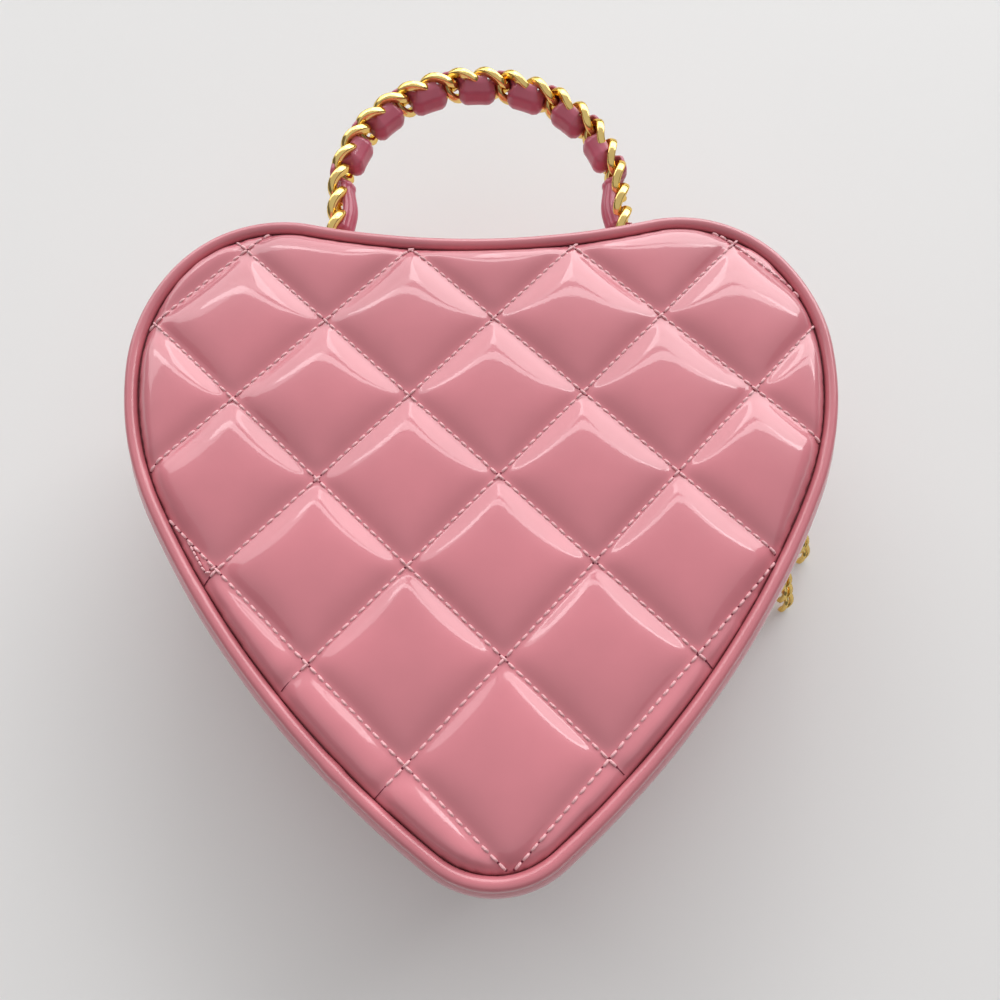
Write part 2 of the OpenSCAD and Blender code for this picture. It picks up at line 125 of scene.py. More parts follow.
class PurseLeather(bpy.types.PropertyGroup):
    quilt_half: distance("Half diagonal", "Half of a quilting diamond's diagonal", 0.0267)
    quilt_shift: distance("Quilting shift", "How far the back quilting lies to the right", 0.0034)
    pad_rise: distance("Pad rise", "Rise of a pad's crown over the stitched valley", 0.003)
    pad_shoulder: share("Pad shoulder", "Where a pad turns from its slope to its crown, seam to middle", 0.22)
    pad_crown: share("Pad crown", "Slope of the crown at the shoulder, as a share of the side's slope", 0.30)
    edge_roll: distance("Edge roll", "Width over which the panel rolls down to its piping", 0.0055)
    edge_drop: distance("Edge drop", "How far the panel's edge lies below the stitched valleys", 0.0024)
    piping_r: distance("Piping radius", "Radius of the covered piping", 0.00195)
    wall_bulge: distance("Wall bulge", "How far the side wall swells past its edges", 0.0018)
    stitch_pitch: distance("Stitch pitch", "Spacing of the stitches", 0.003)
    stitch_l: distance("Stitch length", "Length of thread that shows", 0.00245)
    thread_r: distance("Thread radius", "Radius of the sewing thread", 0.00041)
    # A needle hole is drawn as a dark dot of painted shade of this radius.
    hole_r: distance("Needle hole radius", "Radius of a needle hole", 0.00036)
    patent: colour("Patent leather", "Colour of pads, side wall and tabs", (0.65, 0.206, 0.246))
    piping: colour("Piping leather", "Colour of the piping", (0.60, 0.18, 0.215))
    # The strap's colour is the pads' pink leather darkened, as painted shade.
    strap: colour("Strap leather", "Colour of the strap woven through the chain", (0.50, 0.105, 0.16))
    thread: colour("Thread", "Colour of the stitches", (0.88, 0.47, 0.50))


class PurseMetal(bpy.types.PropertyGroup):
    link_count: IntProperty(name="Links", description="Number of links in the handle", default=20, min=2)
    link_pitch: distance("Link pitch", "Spacing of the handle's links", 0.0106)
    link_wire: distance("Link wire", "Wire radius of the handle's links", 0.0015)
    link_half_w: distance("Link half width", "Half width of a handle link, to the wire's middle", 0.0056)
    twist_angle: turn("Link twist", "Twist of each end of a link", 40)
    link_gap: distance("Link gap", "Clearance where links hang in each other", 0.0003)
    pull_wire: distance("Pull wire", "Wire radius of the pulls' links", 0.0008)
    pull_half_w: distance("Pull half width", "Half width of a pull link, to the wire's middle", 0.0036)
    ring_wire: distance("Ring wire", "Wire radius of the handle rings", 0.0016)
    ring_r: distance("Ring radius", "Mean radius of a handle ring's bow", 0.0095)
    tooth_pitch: distance("Tooth pitch", "Spacing of the zip's teeth", 0.004)
    slider_l: distance("Slider length", "Length of a slider's plates", 0.013)
    slider_w: distance("Slider width", "Width of a slider across the zip", 0.009)
    slider_t: distance("Slider plate", "Thickness of a slider's plates", 0.0012)
    bar_out: distance("Bar reach", "How far the middle of a slider's bar stands off the outline", 0.00555)
    bar_r: distance("Bar radius", "Radius of a slider's bar", 0.0007)
    pull_ring_r: distance("Pull ring radius", "Mean radius of a pull's ring", 0.0029)
    pull_ring_wire: distance("Pull ring wire", "Wire radius of a pull's ring", 0.00065)
    pull_lean: turn("Pull lean", "How far a pull leans outward as it hangs", 24)
    pull_links: IntProperty(name="Pull links", description="Number of links in a pull", default=4, min=2)
    gold: colour("Gold", "Colour of links, rings, teeth and sliders", (0.88, 0.64, 0.23))


class PurseCloth(bpy.types.PropertyGroup):
    strap_in: distance("Strap inner reach", "Reach of the strap's edges inside the arch's line", 0.0029)
    strap_out: distance("Strap outer reach", "Reach of the strap's edges outside the arch's line", 0.0026)
    strap_t: distance("Strap thickness", "Thickness of the woven strap", 0.002)
    strap_w: distance("Strap width", "Width of the strap where a link squeezes it", 0.0064)
    strap_spread: distance("Strap spread", "Width of the strap where it lies free", 0.0108)
    belly_in: distance("Inner belly", "Swell of the strap's middle past its edges on the inner side", 0.0030)
    belly_out: distance("Outer belly", "Swell of the strap's middle past its edges on the outer side", 0.0010)
    strap_bow: distance("Strap bow", "How far the strap's ends stand off the legs", 0.0014)
    strap_lean: turn("Strap lean", "How far the strap turns its broad side up on the arch's inner side", 30)
    leg_lean: turn("Leg lean", "How far the strap turns its broad side up along the legs", 40)
    strap_crease: share("Strap crease", "Depth of the strap's creases, as a share of its thickness", 0.4)
    tape: colour("Zip tape", "Colour of the zip's woven tape", (0.50, 0.14, 0.19))
    lining: colour("Lining", "Colour of the lining cloth", (0.56, 0.27, 0.27))


class PurseFilling(bpy.types.PropertyGroup):
    scale: number("Simulation scale", "How much larger than life the leather is simulated", 20)
    slack: share("Slack", "Growth of the leather between its seams", 0.006)
    pressure: number("Filling pressure", "Pressure of the foam under the leather", 5)
    cap: distance("Greatest move", "How far the simulation may move a point", 0.001)
    frames: IntProperty(name="Frames", description="Frames that the filling is simulated", default=20, min=2)


class PurseSettings(bpy.types.PropertyGroup):
    filling: PointerProperty(type=PurseFilling)
    outline: PointerProperty(type=PurseOutline)
    leather: PointerProperty(type=PurseLeather)
    metal: PointerProperty(type=PurseMetal)
    cloth: PointerProperty(type=PurseCloth)


def settings():
    return bpy.context.scene.purse


# Levels of a half, from its pads inward
DEPTH = CAD_BOX[1][2] - CAD_BOX[0][2]
MID = DEPTH / 2
PIPING_UP = 1.9 * MM
PIPING_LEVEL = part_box("front_piping")[0].z + PIPING_UP
BOARD_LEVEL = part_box("front_board")[0].z
LINING_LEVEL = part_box("front_lining")[0].z
LINING_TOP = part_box("front_lining")[1].z
WALL_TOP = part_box("front_gusset")[1].z
TAPE_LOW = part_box("front_zip_tape")[0].z
TEETH_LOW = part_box("front_zip_teeth")[0].z
TEETH_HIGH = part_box("back_zip_teeth")[0].z

# Faces of the layers, measured outward from the piping's outer edge
PANEL_OUT = -3.9 * MM
WALL_OUT = 0.8 * MM
WALL_IN = -0.6 * MM
TAPE_IN = -1.4 * MM
LINING_OUT = -2.2 * MM
LINING_IN = -3.0 * MM
TOOTH_OUT = -1.0 * MM


def unit(angle):
    return np.stack([np.cos(angle), np.sin(angle)], -1)


def half_z(back, level):
    """Height of a level that is measured from a half's pads inward."""
    return DEPTH - level if back else level


def part_way(value, low, high):
    """Share of the way from low to high, kept from zero to one."""
    return np.clip((value - low) / (high - low), 0, 1)


def eased(value, low, high):
    """Smooth step from zero at low to one at high."""
    part = part_way(value, low, high)
    return part * part * (3 - 2 * part)


class Heart:
    """The outline as tangent arcs, from the tip up the right half to the dip, and mirrored on the left."""

    def __init__(self, s):
        tip_end = s.tip_angle - math.pi / 2
        meet = tip_end + s.flank_angle
        lobe_end = math.pi / 2 + s.dip_angle
        tip = np.array([0, s.tip_r - s.tip_drop])
        flank = tip + (s.tip_r - s.flank_r) * unit(tip_end)
        side = flank + (s.flank_r - s.side_r) * unit(meet)
        shoulder = side + (s.side_r - s.shoulder_r) * unit(0)
        lobe = shoulder + (s.shoulder_r - s.lobe_r) * unit(s.shoulder_angle)
        dip_r = lobe[0] / math.sin(s.dip_angle) - s.lobe_r
        dip = lobe + (s.lobe_r + dip_r) * unit(lobe_end)
        self.centre = np.array([tip, flank, side, shoulder, lobe, dip])
        self.radius = np.array([s.tip_r, s.flank_r, s.side_r, s.shoulder_r, s.lobe_r, -dip_r])
        self.first = np.array([-math.pi / 2, tip_end, meet, 0, s.shoulder_angle, lobe_end])
        self.last = np.append(self.first[1:], math.pi / 2)

    def lengths(self, out=0.0):
        return (self.radius + out) * (self.last - self.first)

    def girth(self, out=0.0):
        return 2 * self.lengths(out).sum()

    def along(self, travel, out=0.0):
        """Stations at distances travelled from the tip, anticlockwise, along the outline moved out."""
        lengths = self.lengths(out)
        ends = np.cumsum(lengths)
        travel = np.mod(travel, 2 * ends[-1])
        left = travel > ends[-1]
        travel = np.where(left, 2 * ends[-1] - travel, travel)
        arc = np.minimum(np.searchsorted(ends, travel), DIP)
        part = (travel - ends[arc] + lengths[arc]) / lengths[arc]
        angle = self.first[arc] + part * (self.last - self.first)[arc]
        return Stations(self, arc, angle, np.where(left, -1, 1))

    def round(self, spacing, out=0.0):
        """Even stations all the way round."""
        count = int(round(self.girth(out) / spacing / 2)) * 2
        return self.along(np.arange(count) * self.girth(out) / count, out)

    def travel(self, arc, angle, out=0.0):
        """Distance from the tip, up the right half, to an angle on an arc."""
        lengths = self.lengths(out)
        part = (angle - self.first[arc]) / (self.last[arc] - self.first[arc])
        return lengths[:arc].sum() + part * lengths[arc]

    def reach(self, points):
        """How far points lie outside the outline, and the outline's outward direction there."""
        slack = 1e-6
        side = np.where(points[:, 0] < 0, -1.0, 1.0)
        folded = points * np.stack([side, np.ones(len(side))], -1)
        out = np.full(len(points), -self.radius[SIDE])
        normal = np.zeros((len(points), 2))
        for centre, radius, first, last in zip(self.centre, self.radius, self.first, self.last):
            arm = (folded - centre) * np.sign(radius)
            length = np.maximum(np.linalg.norm(arm, axis=1), TINY)
            angle = np.arctan2(arm[:, 1], arm[:, 0])
            beyond = (length - abs(radius)) * np.sign(radius)
            in_arc = (angle > min(first, last) - slack) & (angle < max(first, last) + slack)
            nearer = in_arc & (beyond > out)
            out[nearer] = beyond[nearer]
            normal[nearer] = (arm / length[:, None])[nearer]
        normal[:, 0] *= side
        return out, normal

    def dip_y(self, x, out):
        """Height of the outline's hollow top, moved out, at a distance from the axis."""
        reach = -self.radius[DIP] - out
        return self.centre[DIP][1] - math.sqrt(reach ** 2 - x ** 2)

    def dip_slope(self, x):
        """Slope of the side wall in the hollow top, at a distance from the axis."""
        return math.asin(x / (-self.radius[DIP] - WALL_OUT))


class Stations:
    """Places on the outline: an arc, an angle on it, and 1 for the right half or -1 for the left."""

    def __init__(self, heart, arc, angle, side):
        self.heart, self.arc, self.angle, self.side = heart, arc, angle, side

    def at(self, out):
        """Points moved out by a distance, or by a table of distances with a row for each station."""
        out = np.asarray(out, float)
        out = np.broadcast_to(out, (len(self.arc),) + out.shape[-1:]) if out.ndim < 2 else out
        reach = self.heart.radius[self.arc][:, None] + out.reshape(len(self.arc), -1)
        centre = self.heart.centre[self.arc][:, None, :]
        points = centre + reach[..., None] * unit(self.angle)[:, None, :]
        points[..., 0] *= self.side[:, None]
        return points

    def normals(self):
        normal = unit(self.angle)
        normal[:, 0] *= self.side
        return normal


def heart():
    return Heart(settings().outline)


# Meshes

def mesh_object(name, points, faces, finish=None, uv=None, smooth=True, closed=True):
    """A mesh object at the origin. The faces of a closed one are turned outward."""
    mesh = bpy.data.meshes.new(name)
    places = np.asarray(points, float).reshape(-1, 3).tolist()
    mesh.from_pydata(places, [], [list(map(int, face)) for face in faces])
    if uv is not None:
        mesh.uv_layers.new(name="UVMap").data.foreach_set("uv", np.asarray(uv, np.float32).ravel())
    if closed:
        work = bmesh.new()
        work.from_mesh(mesh)
        bmesh.ops.recalc_face_normals(work, faces=work.faces)
        work.to_mesh(mesh)
        work.free()
    mesh.polygons.foreach_set("use_smooth", [smooth] * len(mesh.polygons))
    if finish:
        mesh.materials.append(finish)
    made = bpy.data.objects.new(name, mesh)
    bpy.context.scene.collection.objects.link(made)
    return made


def skin(rings, closed_along=True, closed_across=True):
    """Points, faces and texture places of a skin through rings, with u along it and v across it in metres."""
    count, sides = rings.shape[:2]
    along = np.arange(count if closed_along else count - 1)
    across = np.arange(sides if closed_across else sides - 1)
    a, b = (x.ravel() for x in np.meshgrid(along, across, indexing="ij"))
    c, d = (a + 1) % count, (b + 1) % sides
    faces = np.stack([a * sides + b, c * sides + b, c * sides + d, a * sides + d], -1).tolist()
    step = np.linalg.norm(np.roll(rings.mean(1), -1, 0) - rings.mean(1), axis=1)
    span = np.linalg.norm(np.roll(rings[0], -1, 0) - rings[0], axis=1)
    u = np.concatenate([[0], np.cumsum(step)])
    v = np.concatenate([[0], np.cumsum(span)])
    uv = np.stack([u[a], v[b], u[a + 1], v[b], u[a + 1], v[b + 1], u[a], v[b + 1]], -1).reshape(-1, 2)
    if not closed_along and closed_across:
        last = (count - 1) * sides
        faces += [list(range(sides)), list(range(last, last + sides))]
        uv = np.concatenate([uv, np.zeros((2 * sides, 2))])
    return rings.reshape(-1, 3), faces, uv


def swept(name, rings, finish, closed_along=True, smooth=True):
    points, faces, uv = skin(rings, closed_along)
    return mesh_object(name, points, faces, finish, uv, smooth)


def quads(rows, columns, width):
    """Faces of a grid's cells, each given by its row and column, in a grid that is width points wide."""
    low, high = rows * width + columns, (rows + 1) * width + columns
    return np.stack([low, high, high + 1, low + 1], -1)


def joined(name, parts, finish, smooth=True):
    """One object from several skins."""
    points, faces, uv, start = [], [], [], 0
    for p, f, t in parts:
        points.append(p)
        faces += [[i + start for i in face] for face in f]
        uv.append(t)
        start += len(p)
    return mesh_object(name, np.concatenate(points), faces, finish, np.concatenate(uv), smooth)


def rim_band(stations, profile, back):
    """Rings of a section of (out, level) pairs, one for all stations or one for each, round the outline."""
    profile = np.broadcast_to(profile, (len(stations.arc),) + np.shape(profile)[-2:])
    points = stations.at(profile[..., 0])
    return np.concatenate([points, half_z(back, profile[..., 1])[..., None]], -1)


def corners(sides):
    """Angles of a section's corners, placed so that its flats lie square."""
    return (np.arange(sides) + 0.5) * 2 * math.pi / sides


def tube(path, radius, sides, closed=True, up=(0, 0, 1)):
    """Rings of a round tube along a path of points that never runs along up."""
    path = np.asarray(path, float)
    ahead = np.roll(path, -1, 0) - np.roll(path, 1, 0)
    if not closed:
        ahead[0] = path[1] - path[0]
        ahead[-1] = path[-1] - path[-2]
    ahead /= np.linalg.norm(ahead, axis=1)[:, None]
    side = np.cross(ahead, up)
    side /= np.linalg.norm(side, axis=1)[:, None]
    over = np.cross(side, ahead)
    angle = corners(sides)[None, :, None]
    radius = np.broadcast_to(radius, len(path))[:, None, None]
    return path[:, None] + radius * (np.cos(angle) * side[:, None] + np.sin(angle) * over[:, None])


def rounded_square(sides, power):
    """Places across and over at the corners of a unit section: a circle at a power of 2, squarer above it."""
    x, y = np.cos(corners(sides)), np.sin(corners(sides))
    return np.sign(x) * np.abs(x) ** (2 / power), np.sign(y) * np.abs(y) ** (2 / power)


def rounded_section(width, height, sides=16, power=4.0):
    """Points of a rounded rectangle."""
    x, y = rounded_square(sides, power)
    return np.stack([x * width / 2, y * height / 2], -1)


def rounded_block(low, high, sides=16, power=5.0, edge=0.25 * MM):
    """Skin of a block with rounded corners and bevelled faces, stacked along X."""
    low, high = np.asarray(low, float), np.asarray(high, float)
    size, middle = high - low, (low + high) / 2
    section = rounded_section(1, 1, sides, power)
    rings = []
    for x, inset in ((low[0], edge), (low[0] + edge, 0), (high[0] - edge, 0), (high[0], edge)):
        flat = section * (size[1:] - 2 * inset) + middle[1:]
        rings.append(np.column_stack([np.full(len(flat), x), flat]))
    return skin(np.array(rings), False)


def moved(part, place):
    """A skin carried by a matrix."""
    points, faces, uv = part
    spin = np.array(place.to_3x3())
    return points @ spin.T + np.array(place.translation), faces, uv


def applied(host):
    """The object's evaluated mesh as its own plain mesh, with its modifiers removed."""
    graph = bpy.context.evaluated_depsgraph_get()
    mesh = bpy.data.meshes.new_from_object(host.evaluated_get(graph), preserve_all_data_layers=True,
                                           depsgraph=graph)
    old = host.data
    host.modifiers.clear()
    host.data = mesh
    name = old.name
    bpy.data.meshes.remove(old)
    mesh.name = name
    return host


def dress(piece, body, slot, *nodes):
    """Ties a finished piece to its body and hides the nodes that it stands for; its slot is not used."""
    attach(piece, body)
    if nodes:
        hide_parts(*nodes)
    return piece


# Nodes for materials and repeats

def add(tree, kind, inputs=None, **fields):
    made = tree.nodes.new(kind)
    for key, value in fields.items():
        setattr(made, key, value)
    for key, value in (inputs or {}).items():
        if isinstance(value, bpy.types.NodeSocket):
            tree.links.new(value, made.inputs[key])
        else:
            made.inputs[key].default_value = value
    return made


def repeat_tree():
    """Geometry nodes that lay copies of a piece along each edge path of a mesh."""
    title = "Repeat along a path"
    if title in bpy.data.node_groups:
        return bpy.data.node_groups[title]
    tree = bpy.data.node_groups.new(title, "GeometryNodeTree")
    inputs = {"Geometry": "Geometry", "Piece": "Object", "Spacing": "Float", "Between": "Bool",
              "Wobble": "Float", "Seed": "Int", "Finish": "Material"}
    for name, kind in inputs.items():
        tree.interface.new_socket(name, in_out="INPUT", socket_type="NodeSocket" + kind)
    tree.interface.new_socket("Geometry", in_out="OUTPUT", socket_type="NodeSocketGeometry")
    given = add(tree, "NodeGroupInput").outputs
    curve = add(tree, "GeometryNodeMeshToCurve", {"Mesh": given["Geometry"]})
    even = add(tree, "GeometryNodeResampleCurve", {"Curve": curve.outputs[0], "Length": given["Spacing"]},
               mode="LENGTH")
    tangent = add(tree, "GeometryNodeInputTangent")
    step = add(tree, "ShaderNodeMath", {0: given["Spacing"], 1: given["Between"]}, operation="MULTIPLY")
    half_step = add(tree, "ShaderNodeMath", {0: step.outputs[0], 1: 0.5}, operation="MULTIPLY")
    ahead = add(tree, "ShaderNodeVectorMath", {"Vector": tangent.outputs[0], "Scale": half_step.outputs[0]},
                operation="SCALE")
    shifted = add(tree, "GeometryNodeSetPosition", {"Geometry": even.outputs[0], "Offset": ahead.outputs[0]})
    last = add(tree, "GeometryNodeCurveEndpointSelection", {"Start Size": 0, "End Size": 1})
    spare = add(tree, "FunctionNodeBooleanMath", {0: last.outputs[0], 1: given["Between"]}, operation="NAND")
    up = add(tree, "GeometryNodeInputNamedAttribute", {"Name": "up"}, data_type="FLOAT_VECTOR")
    facing = add(tree, "FunctionNodeAlignRotationToVector", {"Vector": tangent.outputs[0]}, axis="X")
    upright = add(tree, "FunctionNodeAlignRotationToVector",
                  {"Rotation": facing.outputs[0], "Vector": up.outputs["Attribute"]},
                  axis="Z", pivot_axis="X")
    source = add(tree, "GeometryNodeObjectInfo", {"Object": given["Piece"]}, transform_space="ORIGINAL")
    copies = add(tree, "GeometryNodeInstanceOnPoints", {
        "Points": shifted.outputs[0], "Selection": spare.outputs[0], "Instance": source.outputs["Geometry"],
        "Rotation": upright.outputs[0]})
    less = add(tree, "ShaderNodeMath", {0: given["Wobble"], 1: -1.0}, operation="MULTIPLY")
    chance = add(tree, "FunctionNodeRandomValue", {"Seed": given["Seed"]}, data_type="FLOAT_VECTOR")
    tree.links.new(less.outputs[0], chance.inputs["Min"])
    tree.links.new(given["Wobble"], chance.inputs["Max"])
    spin = add(tree, "FunctionNodeEulerToRotation", {0: chance.outputs["Value"]})
    loose = add(tree, "GeometryNodeRotateInstances",
                {"Instances": copies.outputs[0], "Rotation": spin.outputs[0]})
    real = add(tree, "GeometryNodeRealizeInstances", {"Geometry": loose.outputs[0]})
    done = add(tree, "GeometryNodeSetMaterial", {"Geometry": real.outputs[0], "Material": given["Finish"]})
    add(tree, "NodeGroupOutput", {"Geometry": done.outputs[0]})
    return tree


def repeated(name, paths, template, spacing, finish, between=False, wobble=0.0, seed=1):
    """Copies of a template skin along paths; each path is (points, up directions)."""
    piece = mesh_object("template", *template[:2], uv=template[2])
    points, ups, edges = [], [], []
    for line, up in paths:
        start = sum(len(p) for p in points)
        edges += [[start + i, start + i + 1] for i in range(len(line) - 1)]
        points.append(np.asarray(line, float))
        ups.append(np.broadcast_to(np.asarray(up, float), (len(line), 3)))
    mesh = bpy.data.meshes.new(name)
    mesh.from_pydata(np.concatenate(points).tolist(), edges, [])
    mesh.attributes.new("up", "FLOAT_VECTOR", "POINT").data.foreach_set(
        "vector", np.concatenate(ups).astype(np.float32).ravel())
    host = bpy.data.objects.new(name, mesh)
    bpy.context.scene.collection.objects.link(host)
    tree = repeat_tree()
    modifier = host.modifiers.new("Repeat", "NODES")
    modifier.node_group = tree
    given = {"Piece": piece, "Spacing": spacing, "Between": between, "Wobble": wobble, "Seed": seed,
             "Finish": finish}
    for socket in tree.interface.items_tree:
        if socket.in_out == "INPUT" and socket.name in given:
            modifier[socket.identifier] = given[socket.name]
    applied(host)
    bpy.data.objects.remove(piece)
    host.data.polygons.foreach_set("use_smooth", [True] * len(host.data.polygons))
    return host


# Finishes

class Finish:
    """A material while its nodes are laid."""

    def __init__(self, name, base, **sockets):
        self.material = bpy.data.materials.new(name)
        self.material.use_nodes = True
        self.tree = self.material.node_tree
        self.shader = self.tree.nodes["Principled BSDF"]
        self.shader.inputs["Base Color"].default_value = (*base, 1)
        for key, value in sockets.items():
            self.shader.inputs[key.replace("_", " ").title().replace("Ior", "IOR")].default_value = value
        coords = add(self.tree, "ShaderNodeTexCoord")
        self.place, self.surface = coords.outputs["Object"], coords.outputs["UV"]
        self.base = base

    def noise(self, size, detail=3.0, rough=0.5, on=None):
        """Cloudy pattern whose lumps are about size across."""
        return add(self.tree, "ShaderNodeTexNoise", {"Vector": on or self.place, "Scale": 1 / size,
                                                     "Detail": detail, "Roughness": rough}).outputs["Fac"]

    def stripes(self, on, scale, distortion=0.0, direction="X"):
        """Wavy stripes over a place."""
        return add(self.tree, "ShaderNodeTexWave", {"Vector": on, "Scale": scale, "Distortion": distortion},
                   bands_direction=direction).outputs["Fac"]

    def mapped(self, on, **inputs):
        """A place, turned or stretched."""
        return add(self.tree, "ShaderNodeMapping", {"Vector": on, **inputs}).outputs[0]

    def shades(self, fac, darker, lighter, low=0.3, high=0.7):
        """Base colour that runs from a darker to a lighter share of itself."""
        ramp = add(self.tree, "ShaderNodeValToRGB", {"Fac": fac})
        for stop, place, level in zip(ramp.color_ramp.elements, (low, high), (darker, lighter)):
            stop.position = place
            stop.color = (*(min(1, c * level) for c in self.base), 1)
        self.tree.links.new(ramp.outputs[0], self.shader.inputs["Base Color"])

    def vary(self, socket, fac, low, high):
        """A shader value that follows a pattern."""
        span = add(self.tree, "ShaderNodeMapRange", {"Value": fac, "To Min": low, "To Max": high})
        self.tree.links.new(span.outputs[0], self.shader.inputs[socket])

    def bump(self, *layers):
        """Relief from (pattern, depth) layers."""
        normal = None
        for height, depth in layers:
            made = add(self.tree, "ShaderNodeBump", {"Height": height, "Distance": depth, "Strength": 1.0})
            if normal:
                self.tree.links.new(normal, made.inputs["Normal"])
            normal = made.outputs[0]
        for socket in ("Normal", "Coat Normal"):
            self.tree.links.new(normal, self.shader.inputs[socket])
        return self.material


def laid_once(lay):
    """Makes a finish of a function that lays it. The function runs only on the finish's first use."""
    name = lay.__name__.replace("_", " ").capitalize()

    def finish():
        return bpy.data.materials.get(name) or lay(name)

    return finish


def leather_finish(name, base, gloss, grain, blur=0.035):
    """Coated leather: slightly wavy gloss, faint blotches, fine grain."""
    made = Finish(name, base, roughness=0.34, coat_weight=gloss, coat_roughness=blur, specular_ior_level=0.3)
    made.shades(made.noise(26 * MM), darker=0.94, lighter=1.05)
    made.vary("Roughness", made.noise(3 * MM, detail=4), low=0.26, high=0.42)
    wavy, grained = made.noise(8 * MM, detail=2, rough=0.4), made.noise(0.9 * MM, detail=2)
    return made.bump((wavy, 0.04 * MM), (grained, grain))


@laid_once
def patent_leather(name):
    return leather_finish(name, settings().leather.patent, gloss=1.0, grain=0.008 * MM)


@laid_once
def piping_leather(name):
    return leather_finish(name, settings().leather.piping, gloss=1.0, grain=0.010 * MM, blur=0.22)


# Painted shade: the strap is the pads' pink leather with its colour darkened to the shade it lies in.
@laid_once
def strap_leather(name):
    return leather_finish(name, settings().leather.strap, gloss=0.55, grain=0.03 * MM)


@laid_once
def gold_metal(name):
    """Polished plated gold with fine scratches, which also vary its roughness, and faint random blotches of
    tone.
    """
    made = Finish(name, settings().metal.gold, metallic=1.0, roughness=0.16,
                  specular_tint=(0.95, 0.75, 0.35, 1))
    made.shades(made.noise(6 * MM), darker=0.92, lighter=1.04)
    scratches = made.noise(1.0, detail=4, on=made.mapped(made.place, Scale=(2500, 300, 900)))
    made.vary("Roughness", scratches, low=0.10, high=0.26)
    return made.bump((made.noise(2.5 * MM, detail=2), 0.03 * MM), (scratches, 0.004 * MM))


@laid_once
def sewing_thread(name):
    """Twisted polyester thread."""
    made = Finish(name, settings().leather.thread, roughness=0.55, sheen_weight=0.3)
    made.shades(made.noise(4 * MM, detail=2), darker=0.88, lighter=1.06)
    twist = made.stripes(made.mapped(made.surface, Rotation=(0, 0, 0.9)), 500)
    return made.bump((twist, 0.05 * MM))


# Painted shade: the dark wine colour of the dots between stitches stands for the shade inside the needle
# holes.
@laid_once
def needle_hole(name):
    made = Finish(name, (0.20, 0.03, 0.055), roughness=0.8, specular_ior_level=0.2)
    made.shades(made.noise(2 * MM), darker=0.7, lighter=1.2)
    return made.bump((made.noise(0.4 * MM), 0.02 * MM))


@laid_once
def zip_tape(name):
    """Herringbone tape, its pattern laid along it."""
    made = Finish(name, settings().cloth.tape, roughness=0.75, sheen_weight=0.35)
    warp = made.stripes(made.surface, 520, distortion=0.6, direction="Y")
    weft = made.stripes(made.surface, 400, distortion=0.6)
    both = add(made.tree, "ShaderNodeMath", {0: warp, 1: weft}, operation="MULTIPLY").outputs[0]
    made.shades(both, darker=0.75, lighter=1.15, low=0.1, high=0.9)
    return made.bump((both, 0.12 * MM), (made.noise(6 * MM), 0.05 * MM))


@laid_once
def lining_cloth(name):
    """Fine twill with a soft sheen."""
    made = Finish(name, settings().cloth.lining, roughness=0.6, sheen_weight=0.4)
    twill = made.stripes(made.mapped(made.place, Rotation=(0.6, 0.35, 0.9)), 330, distortion=1.2)
    made.shades(made.noise(30 * MM), darker=0.9, lighter=1.08)
    return made.bump((twill, 0.05 * MM), (made.noise(18 * MM, detail=2), 0.5 * MM))


@laid_once
def stiff_board(name):
    """Pressed grey card with fibres."""
    made = Finish(name, (0.42, 0.36, 0.30), roughness=0.85)
    fibres = made.noise(1.2 * MM, detail=5, rough=0.7)
    made.shades(fibres, darker=0.8, lighter=1.15)
    return made.bump((fibres, 0.06 * MM))


# Quilting

